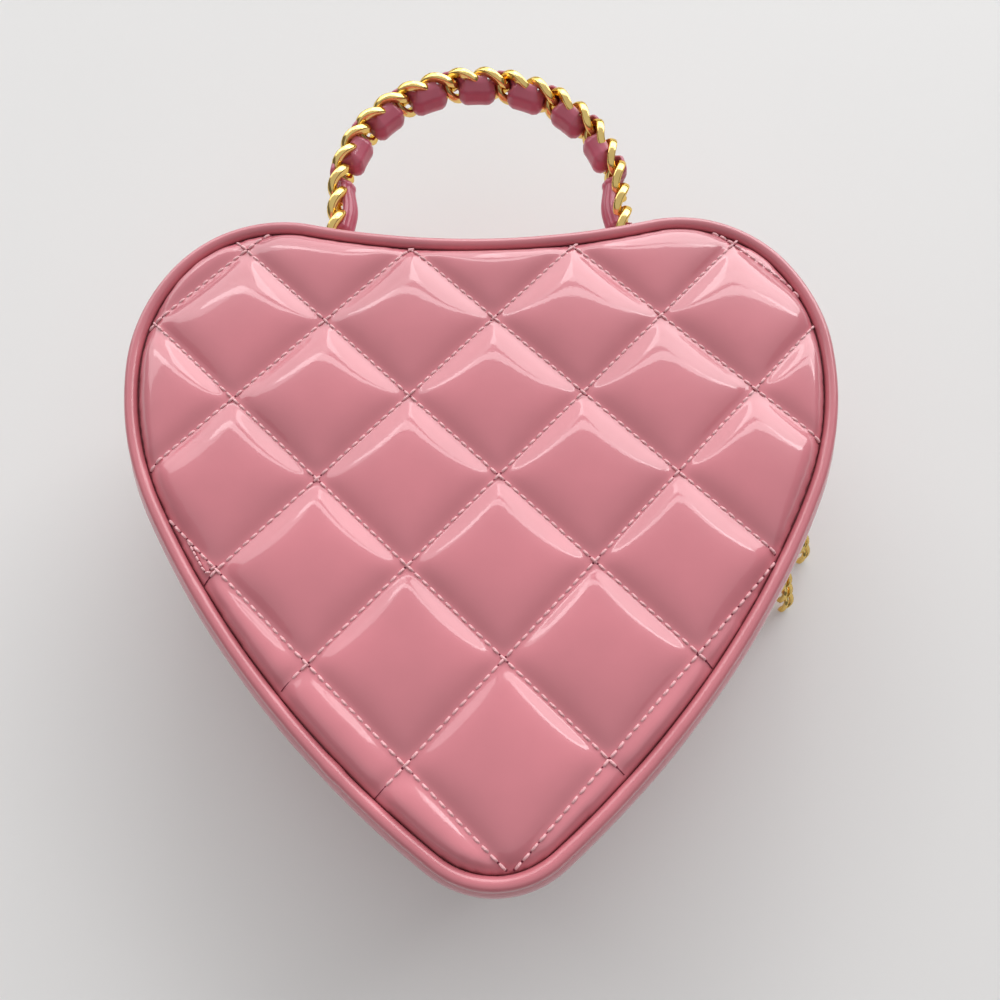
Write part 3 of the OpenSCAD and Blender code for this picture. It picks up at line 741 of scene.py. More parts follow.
class Quilting:
    """The diamonds of one panel. Stitched lines run at whole multiples of q in the slanted places s and t."""

    # A pad's turn from slope to crown and its roll at the edge, and how the pads differ and sway
    turn_power = 5
    roll_power = 2.3
    pad_phases = (7.13, 3.71)
    unlike, unlike_turn = 0.05, 2.4
    sway, sway_x, sway_y = 0.03, 9 * MM, 11 * MM
    seam_lift = 0.15 * MM
    seam_level = 0.02

    # How far the grid and the seams reach, and the backtack's corners in half diagonals
    grid_reach = 108 * MM
    seam_reach = 110 * MM
    backtack_shares = [(-3.34, -0.67), (-3.12, -1.02), (-3.01, -0.96)]

    def __init__(self, back):
        self.leather = settings().leather
        self.q = self.leather.quilt_half
        self.origin = np.array([self.leather.quilt_shift, 0]) if back else np.array([0, self.q])
        self.back = back
        self.heart = heart()

    def point(self, s, t):
        return self.origin + np.stack([s + t, s - t], -1)

    def profile(self, place):
        """Rise of a pad between two seams, from zero on a seam to one midway."""
        away = 2 * np.abs(place / self.q - np.round(place / self.q))
        shoulder, crown, power = self.leather.pad_shoulder, self.leather.pad_crown, self.turn_power
        slope = away / (1 + (away / shoulder) ** power) ** (1 / power)
        full = 1 / (1 + shoulder ** -power) ** (1 / power)
        return (slope + crown * away * (1 - away / 2)) / (full + crown / 2)

    def level(self, s, t):
        """Depth of the leather below the pads' highest crowns."""
        points = self.point(s, t)
        x, y = points[..., 0], points[..., 1]
        out = self.heart.reach(points.reshape(-1, 2))[0].reshape(np.shape(s))
        inside = np.clip((PANEL_OUT - out) / self.leather.edge_roll, 0, 1)
        roll = 1 - (1 - inside) ** self.roll_power
        pad = np.floor(s / self.q) * self.pad_phases[0] + np.floor(t / self.q) * self.pad_phases[1]
        fullness = 1 + self.unlike * np.sin(pad * self.unlike_turn)
        sway = self.sway * np.sin(x / self.sway_x + pad) * np.sin(y / self.sway_y - pad)
        rise = self.profile(s) * self.profile(t) * (fullness + sway)
        valley = self.leather.pad_rise + self.leather.edge_drop * (1 - roll)
        return valley - self.leather.pad_rise * rise * roll - self.seam_lift * roll

    def over(self, flat, lift=0.0):
        """Points on the leather, or lifted off it, over places in the panel's plane."""
        x, y = (flat - self.origin).T
        return np.column_stack([flat, half_z(self.back, self.level((x + y) / 2, (x - y) / 2) - lift)])

    def backtack(self, lift, steps=12):
        """Path of the short stitches that turn back at the left flank, where the sewing began."""
        corner = self.origin + self.q * np.array(self.backtack_shares)
        path = np.concatenate([np.linspace(a, b, steps) for a, b in zip(corner, corner[1:])])
        return self.over(np.delete(path, steps, axis=0), lift)

    def top(self, steps):
        """Grid of the upper surface, lined up with the seams and trimmed to the panel's edge."""
        span = int(math.ceil(self.grid_reach / self.q * steps))
        line = np.arange(-span, span + 1) * self.q / steps
        s, t = np.meshgrid(line, line, indexing="ij")
        middle = (line[:-1] + line[1:]) / 2
        ms, mt = np.meshgrid(middle, middle, indexing="ij")
        out = self.heart.reach(self.point(ms, mt).reshape(-1, 2))[0].reshape(ms.shape)
        kept = out < PANEL_OUT
        count = len(line)
        faces = quads(*np.nonzero(kept), count)
        uses = np.bincount(faces.ravel(), minlength=count * count)
        flat = self.point(s, t).reshape(-1, 2)
        border = (uses > 0) & (uses < 4)
        beyond, normal = self.heart.reach(flat)
        flat[border] += (PANEL_OUT - beyond[border])[:, None] * normal[border]
        used = np.nonzero(uses)[0]
        index = np.full(count * count, -1)
        index[used] = np.arange(len(used))
        points = self.over(flat[used])
        faces = index[faces]
        s, t = s.ravel()[used], t.ravel()[used]
        seam = (self.profile(s) < self.seam_level) | (self.profile(t) < self.seam_level) | border[used]
        return points, faces, seam

    def seams(self, margin, lift, reach=4, steps=27):
        """Paths along the stitched lines from edge to edge, and the short lines that end in a loose tail.

        A path reaches a few diamonds each way from the middle, with the same steps along each diamond.
        A line whose lower end lies a few steps past its last crossing ends soon after that crossing.
        """
        least_path, least_tail, most_tail, stitched_share = 5, 2, 12, 0.7
        paths, tails = [], []
        lines = int(math.ceil(self.seam_reach / self.q))
        run = np.arange(-reach * steps, reach * steps + 1) * (self.q / steps)
        crossing = np.arange(len(run)) % steps == 0
        for k in range(-lines, lines + 1):
            for slant in (True, False):
                fixed = np.full(len(run), k * self.q)
                s, t = (fixed, run) if slant else (run, fixed)
                flat = self.point(s, t)
                inside = np.nonzero(self.heart.reach(flat)[0] < PANEL_OUT - margin)[0]
                if len(inside) < least_path:
                    continue
                line = np.column_stack([flat, half_z(self.back, self.level(s, t) - lift)])
                first, last = inside[0], inside[-1]
                low = first if flat[first, 1] < flat[last, 1] else last
                near = inside[crossing[inside]]
                if len(near) and flat[low, 1] < 0:
                    cut = near[np.argmin(np.abs(near - low))]
                    if least_tail < abs(cut - low) < most_tail:
                        cut += int(stitched_share * (low - cut))
                        tails.append(line[min(cut, low):max(cut, low) + 1])
                        first, last = (cut, last) if low == first else (first, cut)
                paths.append((line[first:last + 1], UP if self.back else -UP))
        return paths, tails


def vertex_places(mesh):
    places = np.empty(3 * len(mesh.vertices))
    mesh.vertices.foreach_get("co", places)
    return places.reshape(-1, 3)


def evened(mesh, values, rounds):
    """Values at a mesh's points, each evened out with those of its neighbours."""
    ends = np.empty(2 * len(mesh.edges), int)
    mesh.edges.foreach_get("vertices", ends)
    a, b = ends.reshape(-1, 2).T
    count = np.bincount(ends, minlength=len(values))[:, None]
    for _ in range(rounds):
        around = np.zeros_like(values)
        np.add.at(around, a, values[b])
        np.add.at(around, b, values[a])
        values = (values + around / np.maximum(count, 1)) / 2
    return values


def filled(sheet, held):
    """Blows a sheet up between its held points in a short cloth simulation, and caps each point's move."""
    filling, scene = settings().filling, bpy.context.scene
    start = vertex_places(sheet.data)
    sheet.data.transform(Matrix.Scale(filling.scale, 4))
    sheet.vertex_groups.new(name="Held").add(np.nonzero(held)[0].tolist(), 1.0, "REPLACE")
    modifier = sheet.modifiers.new("Filling", "CLOTH")
    modifier.point_cache.frame_start = 1
    modifier.point_cache.frame_end = filling.frames
    cloth = modifier.settings
    cloth.vertex_group_mass = "Held"
    cloth.shrink_min = -filling.slack
    cloth.use_pressure = True
    cloth.uniform_pressure_force = filling.pressure
    cloth.effector_weights.gravity = 0
    for now in range(1, filling.frames + 1):
        scene.frame_set(now)
    graph = bpy.context.evaluated_depsgraph_get()
    shift = vertex_places(sheet.evaluated_get(graph).data) / filling.scale - start
    scene.frame_set(1)
    sheet.modifiers.clear()
    sheet.vertex_groups.clear()
    shift = evened(sheet.data, shift, rounds=3)
    length = np.maximum(np.linalg.norm(shift, axis=1), TINY)[:, None]
    shift *= filling.cap * np.tanh(length / filling.cap) / length
    sheet.data.vertices.foreach_set("co", (start + shift).ravel())
    sheet.data.update()


def pressed(sheet, level):
    """Flattens what hangs below a level, as pads are flat where they rest on a table."""
    places = vertex_places(sheet.data)
    places[:, 2] = np.maximum(places[:, 2], level)
    sheet.data.vertices.foreach_set("co", places.ravel())
    sheet.data.update()


def quilted_panel(back):
    """The pads of one panel, filled between their seams, with a skirt and a flat underside on the board."""
    half = HALF_NAMES[back]
    skirt_level, board_gap, table_gap = 5.9 * MM, 0.1 * MM, 0.02 * MM
    points, faces, seam = Quilting(back).top(steps=22)
    faces = faces[:, ::-1] if back else faces
    panel = mesh_object(half + "_quilted_panel", points, faces, patent_leather(), closed=False)
    filled(panel, seam)
    pressed(panel, CAD_BOX[0][2] + table_gap)
    smooth = panel.modifiers.new("Smooth", "SUBSURF")
    smooth.levels = smooth.render_levels = 1
    applied(panel)
    work = bmesh.new()
    work.from_mesh(panel.data)
    edges = [e for e in work.edges if e.is_boundary]
    for level in (skirt_level, BOARD_LEVEL - board_gap):
        grown = bmesh.ops.extrude_edge_only(work, edges=edges)["geom"]
        edges = [e for e in grown if isinstance(e, bmesh.types.BMEdge) and e.is_boundary]
        for v in {v for e in edges for v in e.verts}:
            v.co.z = half_z(back, level)
    bottom = bmesh.ops.holes_fill(work, edges=edges, sides=0)["faces"]
    bmesh.ops.triangulate(work, faces=bottom)
    bmesh.ops.recalc_face_normals(work, faces=work.faces)
    work.to_mesh(panel.data)
    work.free()
    panel.data.polygons.foreach_set("use_smooth", [True] * len(panel.data.polygons))
    dress(panel, half + "_shell", "patent_leather", half + "_panel", half + "_padding")


def stitch(size=1.0):
    """Skin of one visible stitch: a thread whose ends dip into their holes."""
    leather = settings().leather
    half, r = leather.stitch_l / 2 * size, leather.thread_r * size ** 0.5
    place_shares = np.array([-1, -0.72, 0, 0.72, 1])
    lift_shares = np.array([-1.0, 0.35, 0.7, 0.35, -1.0])
    width_shares = np.array([0.55, 0.95, 1.05, 0.95, 0.55])
    path = np.column_stack([place_shares * half, np.zeros(5), lift_shares * r])
    return skin(tube(path, width_shares * r, 6, closed=False), False)


def hole():
    """Skin of one needle hole's painted shade: a small dark bead that shows as a dot."""
    r = settings().leather.hole_r
    sides = 6
    circle = unit(np.arange(sides) * 2 * math.pi / sides)
    lift_width_shares = [(-0.6, 0.6), (0.0, 1.0), (0.28, 0.55)]
    rings = [np.column_stack([circle * w * r, np.full(sides, h * r)]) for h, w in lift_width_shares]
    return skin(np.array(rings), False)


def sew(name, paths, body, seed=1, size=1.0, wobble=0.07):
    """Stitches along paths, with a dark dot of painted shade at each needle hole between them."""
    pitch = settings().leather.stitch_pitch * size
    thread = repeated(name + "_stitches", paths, stitch(size), pitch, sewing_thread(), True, wobble, seed)
    dress(thread, body, "strap_leather")
    hole_shade_dots = repeated(name + "_needle_holes", paths, hole(), pitch, needle_hole())
    dress(hole_shade_dots, body, "patent_leather")


class PURSE_OT_panels(bpy.types.Operator):
    """Make both quilted panels with their padding and stitching"""
    bl_idname = "purse.panels"
    bl_label = "Quilted Panels"

    def execute(self, context):
        margin, lift, tack_lift, tail_share = 0.3 * MM, 0.16 * MM, 0.2 * MM, 0.36
        for back, half in enumerate(HALF_NAMES):
            quilted_panel(back)
            quilting = Quilting(back)
            paths, tails = quilting.seams(margin, lift)
            sew(half + "_quilting", paths, half + "_shell", seed=2 + back)
            if back:
                sew("backtack", [(quilting.backtack(tack_lift), UP)], "back_shell", seed=4, size=0.6)
            r = tail_share * settings().leather.thread_r
            # The loose tails are thin dark lines in the needle holes' painted-shade finish.
            loose = [skin(tube(line, r, 6, closed=False), False) for line in tails]
            if loose:
                dress(joined(half + "_thread_tails", loose, needle_hole()), half + "_shell", "patent_leather")
        return {"FINISHED"}


# Piping, side wall, hinge

def piping_ring(back):
    """The piping, with the small lapped join where its ends meet beside the tip."""
    join_angle = math.radians(-45.6)
    lap_reach, lap_rise, lap_power, lap_step = 3.2 * MM, 0.22 * MM, 0.35, 0.75
    sway_share, sway_long, sway_short = 0.02, 11 * MM, 7.3 * MM
    shape = heart()
    r = settings().leather.piping_r
    stations = shape.round(1.4 * MM)
    count = len(stations.arc)
    travel = np.arange(count) * shape.girth() / count
    away = travel - (shape.girth() - shape.travel(FLANK, join_angle))
    lap = np.clip(1 - np.abs(away) / lap_reach, 0, 1) ** lap_power
    lean = np.where(away > 0, 1.0, lap_step)
    sway = 1 + sway_share * np.sin(travel / sway_long) * np.sin(travel / sway_short)
    radius = r * sway[:, None] + lap_rise * (lap * lean)[:, None]
    angle = corners(16)
    profile = np.stack([-r + radius * np.cos(angle), PIPING_LEVEL + radius * np.sin(angle)], -1)
    half = HALF_NAMES[back]
    ring = swept(half + "_covered_piping", rim_band(stations, profile, back), piping_leather())
    dress(ring, half + "_shell", "piping_leather", half + "_piping", half + "_piping_cord")


def wall_swell(stations, level):
    """How far the side wall swells at each station and level: hardly across the heart's top, by the tabs."""
    peak, hem = 14 * MM, WALL_TOP - 4 * MM
    top_start, top_full = 40 * MM, 60 * MM
    quiet_end, quiet_full, quiet_share = 78 * MM, 64 * MM, 0.96
    wave_share, wave_x, wave_y = 0.05, 8 * MM, 9.5 * MM
    rise, fall = part_way(level, PIPING_LEVEL, peak), part_way(level, hem, peak)
    bump = np.where(level < peak, np.sin(rise * math.pi / 2), np.sin(fall * math.pi / 2) ** 2)
    x, y = stations.at(0.0)[:, 0].T
    quiet = part_way(y, top_start, top_full) * part_way(np.abs(x), quiet_end, quiet_full)
    waves = 1 + wave_share * np.sin(x / wave_x) * np.sin(y / wave_y)
    return settings().leather.wall_bulge * ((1 - quiet_share * quiet) * waves)[:, None] * bump[None, :]


def side_wall(back):
    """The gusset: leather from under the piping to its folded edge at the zip."""
    foot, upright, seam = 6.3 * MM, 10.5 * MM, WALL_TOP - 2.6 * MM
    foot_in, foot_power, seam_in, seam_out = 2.2 * MM, 1.6, 0.16 * MM, 0.02 * MM
    stations = heart().round(1.6 * MM)
    levels = np.concatenate([
        np.linspace(foot, foot + 3 * MM, 10), np.linspace(foot + 4 * MM, seam - 1.1 * MM, 22),
        [seam, seam + 1 * MM, seam + 1.8 * MM]])
    swell = wall_swell(stations, levels)
    tuck = -foot_in * part_way(levels, upright, foot) ** foot_power - seam_in * (levels == seam)
    outer = np.stack([WALL_OUT + swell + tuck, np.broadcast_to(levels, swell.shape)], -1)
    fold = [(WALL_OUT - 0.18 * MM, WALL_TOP - 0.3 * MM), (0.1 * MM, WALL_TOP),
            (-0.35 * MM, WALL_TOP - 0.2 * MM), (WALL_IN, WALL_TOP - 0.8 * MM)]
    inside = [(WALL_IN, 30 * MM), (WALL_IN, 20 * MM), (WALL_IN, 9 * MM), (-0.75 * MM, 7.5 * MM)]
    flange = [(-3.7 * MM, 7.45 * MM), (-3.7 * MM, 6.55 * MM), (-2.6 * MM, 6.4 * MM), (-1.8 * MM, foot)]
    edge = np.array(fold + inside + flange)
    profile = np.concatenate([outer, np.broadcast_to(edge, (len(swell),) + edge.shape)], 1)
    half = HALF_NAMES[back]
    wall = swept(half + "_side_wall", rim_band(stations, profile, back), patent_leather())
    dress(wall, half + "_shell", "patent_leather", half + "_gusset")
    line = rim_band(stations, np.array([[WALL_OUT + seam_out, seam]]), back)[:, 0]
    up = np.column_stack([stations.normals(), np.zeros(len(line))])
    line, up = np.concatenate([line, line[:1]]), np.concatenate([up, up[:1]])
    sew(half + "_wall_edge", [(line, up)], half + "_shell", seed=5 + back)


class PURSE_OT_walls(bpy.types.Operator):
    """Make the piping and the side wall of both halves"""
    bl_idname = "purse.walls"
    bl_label = "Piping and Side Walls"

    def execute(self, context):
        for back in range(len(HALF_NAMES)):
            piping_ring(back)
            side_wall(back)
        return {"FINISHED"}


class PURSE_OT_hinge(bpy.types.Operator):
    """Make the leather patch that hinges the halves at the tip"""
    bl_idname = "purse.hinge"
    bl_label = "Hinge Patch"

    def execute(self, context):
        thick, seat_gap, end_gap = 1.15 * MM, 0.02 * MM, 0.7 * MM
        swell, swell_reach, fold_half = 0.5 * MM, 4 * MM, 5 * MM
        shape = heart()
        low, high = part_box("hinge_patch")
        reach = shape.travel(TIP, shape.last[TIP]) - end_gap
        stations = shape.along(np.linspace(-reach, reach, 40))
        rows = np.linspace(low.z, high.z, 26)
        belly = swell * np.exp(-((rows - MID) / swell_reach) ** 2)
        outer = np.stack([WALL_IN - seat_gap + belly, rows], -1)
        inner = np.stack([np.full(len(rows), WALL_IN - thick), rows[::-1]], -1)
        profile = np.concatenate([outer, inner])
        patch = swept("tip_hinge_patch", rim_band(stations, profile, False), patent_leather(), False)
        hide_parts("hinge_patch")
        tip_y = shape.along(np.array([0.0])).at(0.0)[0, 0, 1]
        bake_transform(patch)
        return {"FINISHED"}


# Zip

def zip_stations(spacing, out):
    """Stations along the zip, which stops short of the tip on both sides."""
    shape = heart()
    start = shape.travel(TIP, shape.last[TIP], out)
    count = int((shape.girth(out) - 2 * start) / spacing)
    return shape.along(np.linspace(start, shape.girth(out) - start, count + 1), out)


def tooth():
    """Skin of one zip tooth: a clamp on the tape's bead, a neck and a rounded head."""
    reach = TEETH_HIGH - TEETH_LOW
    section = rounded_section(2, 2, 8, 3.2)
    reach_shares = (-0.42, 0.30, 0.52, 0.82, 1.0)
    half_widths = (0.80 * MM, 0.85 * MM, 0.52 * MM, 0.78 * MM, 0.5 * MM)
    half_depths = (1.05 * MM, 1.08 * MM, 0.85 * MM, 0.95 * MM, 0.7 * MM)
    rings = [np.column_stack([section * (w, d), np.full(len(section), h * reach)])
             for h, w, d in zip(reach_shares, half_widths, half_depths)]
    return skin(np.array(rings), False)


def tape_profile():
    """Section of the tape, with the woven bead that carries the teeth."""
    bead, flat_share, seat_gap = 0.55 * MM, 1.2, 0.02 * MM
    bead_low = TEETH_LOW - 2 * bead
    front = [(WALL_IN - seat_gap, TAPE_LOW), (WALL_IN - seat_gap, bead_low)]
    round_end = [(TOOTH_OUT + bead * flat_share * math.cos(a), TEETH_LOW - bead + bead * math.sin(a))
                 for a in np.linspace(0.15 * math.pi, 0.85 * math.pi, 6)]
    return np.array(front + round_end + [(TAPE_IN, bead_low), (TAPE_IN, TAPE_LOW)])


class PURSE_OT_zip(bpy.types.Operator):
    """Make the zip's tapes, teeth and stops"""
    bl_idname = "purse.zip"
    bl_label = "Zip"

    def execute(self, context):
        for back, half in enumerate(HALF_NAMES):
            tape = swept(half + "_tape", rim_band(zip_stations(1.8 * MM, 0.0), tape_profile(), back),
                         zip_tape(), False)
            dress(tape, half + "_shell", "zip_tape", half + "_zip_tape")
            self.teeth(back, half)
            self.stops(back, half)
        return {"FINISHED"}

    def teeth(self, back, half):
        """One row of teeth. The back row starts half a pitch later, so that the two rows mesh."""
        pitch = settings().metal.tooth_pitch
        step, bare = 1.0 * MM, 9 * MM
        line = rim_band(zip_stations(step, TOOTH_OUT), np.array([[TOOTH_OUT, TEETH_LOW]]), back)[:, 0]
        skip = round((bare + back * pitch / 2) / step)
        row = [(line[skip:-skip], -UP if back else UP)]
        teeth = repeated(half + "_teeth", row, tooth(), pitch, gold_metal())
        dress(teeth, half + "_shell", "gold_metal", half + "_zip_teeth")

    def stops(self, back, half):
        """A clamped stop at each end of a row."""
        shape = heart()
        corner = np.array([1.2, 2, 1.1]) * MM
        angle = shape.first[FLANK] + 3 * MM / shape.radius[FLANK]
        level = half_z(back, TEETH_LOW + corner[2])
        places = [rim_place(shape, FLANK, angle, TOOTH_OUT, level, side) for side in (1, -1)]
        parts = [moved(rounded_block(-corner, corner), place) for place in places]
        pair = joined(half + "_stops", parts, gold_metal())
        dress(pair, half + "_shell", "gold_metal", half + "_zip_stops")


def rim_place(shape, arc, angle, out, z, side=1):
    """Frame of a place on the outline: X outward, Y along it, Z up. A side of -1 is the left half."""
    point = shape.centre[arc] + (shape.radius[arc] + out) * unit(angle)
    place = Matrix.Translation((point[0] * side, point[1], z))
    return place @ Matrix.Rotation(angle if side > 0 else math.pi - angle, 4, "Z")


# Lining and pocket

class PURSE_OT_lining(bpy.types.Operator):
    """Line both halves and sew the pocket inside"""
    bl_idname = "purse.lining"
    bl_label = "Lining"

    def execute(self, context):
        stations = heart().round(3 * MM)
        sheet, floor = LINING_LEVEL + 0.05 * MM, LINING_LEVEL + 0.8 * MM
        rim, middle, flat_edge = LINING_TOP - 0.3 * MM, 20 * MM, -7.5 * MM
        outside = [(flat_edge, sheet), (LINING_OUT, sheet), (LINING_OUT, middle), (LINING_OUT, rim)]
        hem = [((LINING_OUT + LINING_IN) / 2, LINING_TOP)]
        inside = [(LINING_IN, rim), (LINING_IN, middle), (LINING_IN, floor + 2.2 * MM)]
        corner = [(-3.4 * MM, floor + 0.7 * MM), (-5.2 * MM, floor + 0.05 * MM), (flat_edge, floor)]
        section = np.array(outside + hem + inside + corner)
        for back, half in enumerate(HALF_NAMES):
            points, faces, uv = skin(rim_band(stations, section, back).transpose(1, 0, 2), False)
            tray = mesh_object(half + "_lining_cloth", points, faces, lining_cloth(), uv)
            dress(tray, half + "_shell", "lining_cloth", half + "_lining")
        self.pocket()
        return {"FINISHED"}

    def pocket(self):
        """A flat pocket that lies on the back lining, a little puffed towards its mouth."""
        low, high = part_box("inner_pocket")
        width, height = high.x - low.x, high.y - low.y
        corner, thick, seat_gap, seat = 12 * MM, 0.6 * MM, 0.05 * MM, 0.35 * MM
        puff_rise, sway_rise, sway_turns, puff_power = 0.9 * MM, 0.25 * MM, 19, 0.6
        u, v = np.meshgrid(np.linspace(0, 1, 41), np.linspace(0, 1, 27), indexing="ij")
        x = low.x + u * width
        drop = np.clip(corner - np.minimum(x - low.x, high.x - x), 0, corner)
        foot = low.y + corner - np.sqrt(corner ** 2 - drop ** 2)
        y = foot + v * (high.y - foot)
        puff = puff_rise * np.sin(math.pi * u) ** puff_power * v ** 2
        sway = sway_rise * np.sin(u * sway_turns) * v * np.sin(math.pi * u)
        rest = high.z - seat_gap
        face = np.stack([x, y, rest - seat - puff - sway], -1)
        under = face + thick * UP
        under[..., 2] = np.minimum(under[..., 2], rest)
        points, faces = solid_sheet(face, under)
        cloth = mesh_object("inside_pocket", points, faces, lining_cloth())
        dress(cloth, "back_shell", "lining_cloth", "inner_pocket")
        self.pocket_seam(low, high, corner, rest - 0.45 * MM)

    def pocket_seam(self, low, high, corner, level):
        """Stitches down one side of the pocket, round its foot and up the other side."""
        inset = 1.6 * MM
        centre = np.array([low.x + corner, low.y + corner])
        edge = [(low.x + inset, high.y - inset), (low.x + inset, low.y + corner)]
        for a in np.linspace(math.pi, 1.5 * math.pi, 8)[1:]:
            edge.append(tuple(centre + (corner - inset) * unit(a)))
        edge += [(low.x + high.x - x, y) for x, y in edge[::-1]]
        path = np.array([(x, y, level) for x, y in edge])
        sew("pocket_edge", [(path, -UP)], "back_shell", seed=9)


def solid_sheet(face, under):
    """Points and faces of a closed sheet between two grids."""
    rows, columns = face.shape[:2]
    grid = rows * columns
    points = np.concatenate([face.reshape(-1, 3), under.reshape(-1, 3)])
    i, j = (g.ravel() for g in np.meshgrid(np.arange(rows - 1), np.arange(columns - 1), indexing="ij"))
    quad = quads(i, j, columns)
    faces = quad.tolist() + (quad[:, ::-1] + grid).tolist()
    index = np.arange(grid).reshape(rows, columns)
    loop = [*index[:, 0], *index[-1, 1:], *index[-2::-1, -1], *index[0, -2:0:-1]]
    for first, second in zip(loop, loop[1:] + loop[:1]):
        faces.append([first, second, second + grid, first + grid])
    return points, faces


# Handle

class HandlePath:
    """The chain's middle line: up one leg, round the arch and down the other."""

    def __init__(self):
        metal = settings().metal
        low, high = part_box("left_handle_ring")
        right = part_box("right_handle_ring")
        self.half = (right[0].x + right[1].x) / 2
        self.z = (low.z + high.z) / 2
        self.hinge_y = low.y + metal.ring_wire
        self.half_l = (metal.link_pitch + 2 * metal.link_wire + metal.link_gap) / 2
        grip = metal.ring_wire + metal.link_wire + metal.link_gap
        self.first_y = self.hinge_y + metal.ring_r - grip + self.half_l
        self.length = (metal.link_count - 1) * metal.link_pitch
        self.arch = math.pi * self.half
        self.leg = (self.length - self.arch) / 2
        self.arch_y = self.first_y + self.leg

    def place(self, s, out=0.0):
        """Points at distances along the line, moved out from the arch, with the line's direction."""
        s = np.asarray(s, float)
        bend = np.clip((s - self.leg) / self.half, 0, math.pi)
        angle = math.pi - bend
        radius = self.half + out
        x, y = radius * np.cos(angle), self.arch_y + radius * np.sin(angle)
        y = y - np.maximum(self.leg - s, 0) - np.maximum(s - self.leg - self.arch, 0)
        ahead = np.stack([np.sin(angle), -np.cos(angle), np.zeros_like(s)], -1)
        return np.stack([x, y, np.full_like(s, self.z)], -1), ahead


def curb_link(half_l, half_w, twist, wire, steps, sides, cut=2.0):
    """Skin of a twisted oval link, X along the chain and Y across it, with its long sides cut flat."""
    t = np.arange(steps) * 2 * math.pi / steps
    nudge = 0.01

    def line(t):
        across, lean = half_w * np.sin(t), twist * np.cos(t)
        return np.stack([half_l * np.cos(t), across * np.cos(lean), across * np.sin(lean)], -1)

    ahead = line(t + nudge) - line(t - nudge)
    ahead /= np.linalg.norm(ahead, axis=1)[:, None]
    lean = twist * np.cos(t)
    normal = np.cross(ahead, np.stack([np.zeros_like(t), np.sin(lean), -np.cos(lean)], -1))
    normal /= np.linalg.norm(normal, axis=1)[:, None]
    other = np.cross(normal, ahead)
    over, through = rounded_square(sides, (2 + cut * np.sin(t) ** 2)[:, None])
    spoke = over[..., None] * normal[:, None] + through[..., None] * other[:, None]
    return skin(line(t)[:, None] + wire * spoke)


def strap_section():
    """Shares of thickness and width round the folded strap, with two creases along each face."""
    squareness, crease_share, crease_w_share = 3.4, 0.19, 0.05
    half = 0.5 * np.sin(np.linspace(-math.pi / 2, math.pi / 2, 17))
    thick = 0.5 * (1 - np.abs(2 * half) ** squareness) ** (1 / squareness)
    crease = np.exp(-((np.abs(half) - crease_share) / crease_w_share) ** 2)
    thick *= 1 - settings().cloth.strap_crease * crease
    return np.concatenate([np.stack([thick, half], -1), np.stack([-thick, half], -1)[-2:0:-1]])


def even_rows(table, count):
    """Rows of a table taken at even distances along the line that its first three columns draw."""
    gone = np.concatenate([[0], np.cumsum(np.linalg.norm(np.diff(table[:, :3], axis=0), axis=1))])
    even = np.linspace(0, gone[-1], count)
    return np.stack([np.interp(even, gone, column) for column in table.T], -1)


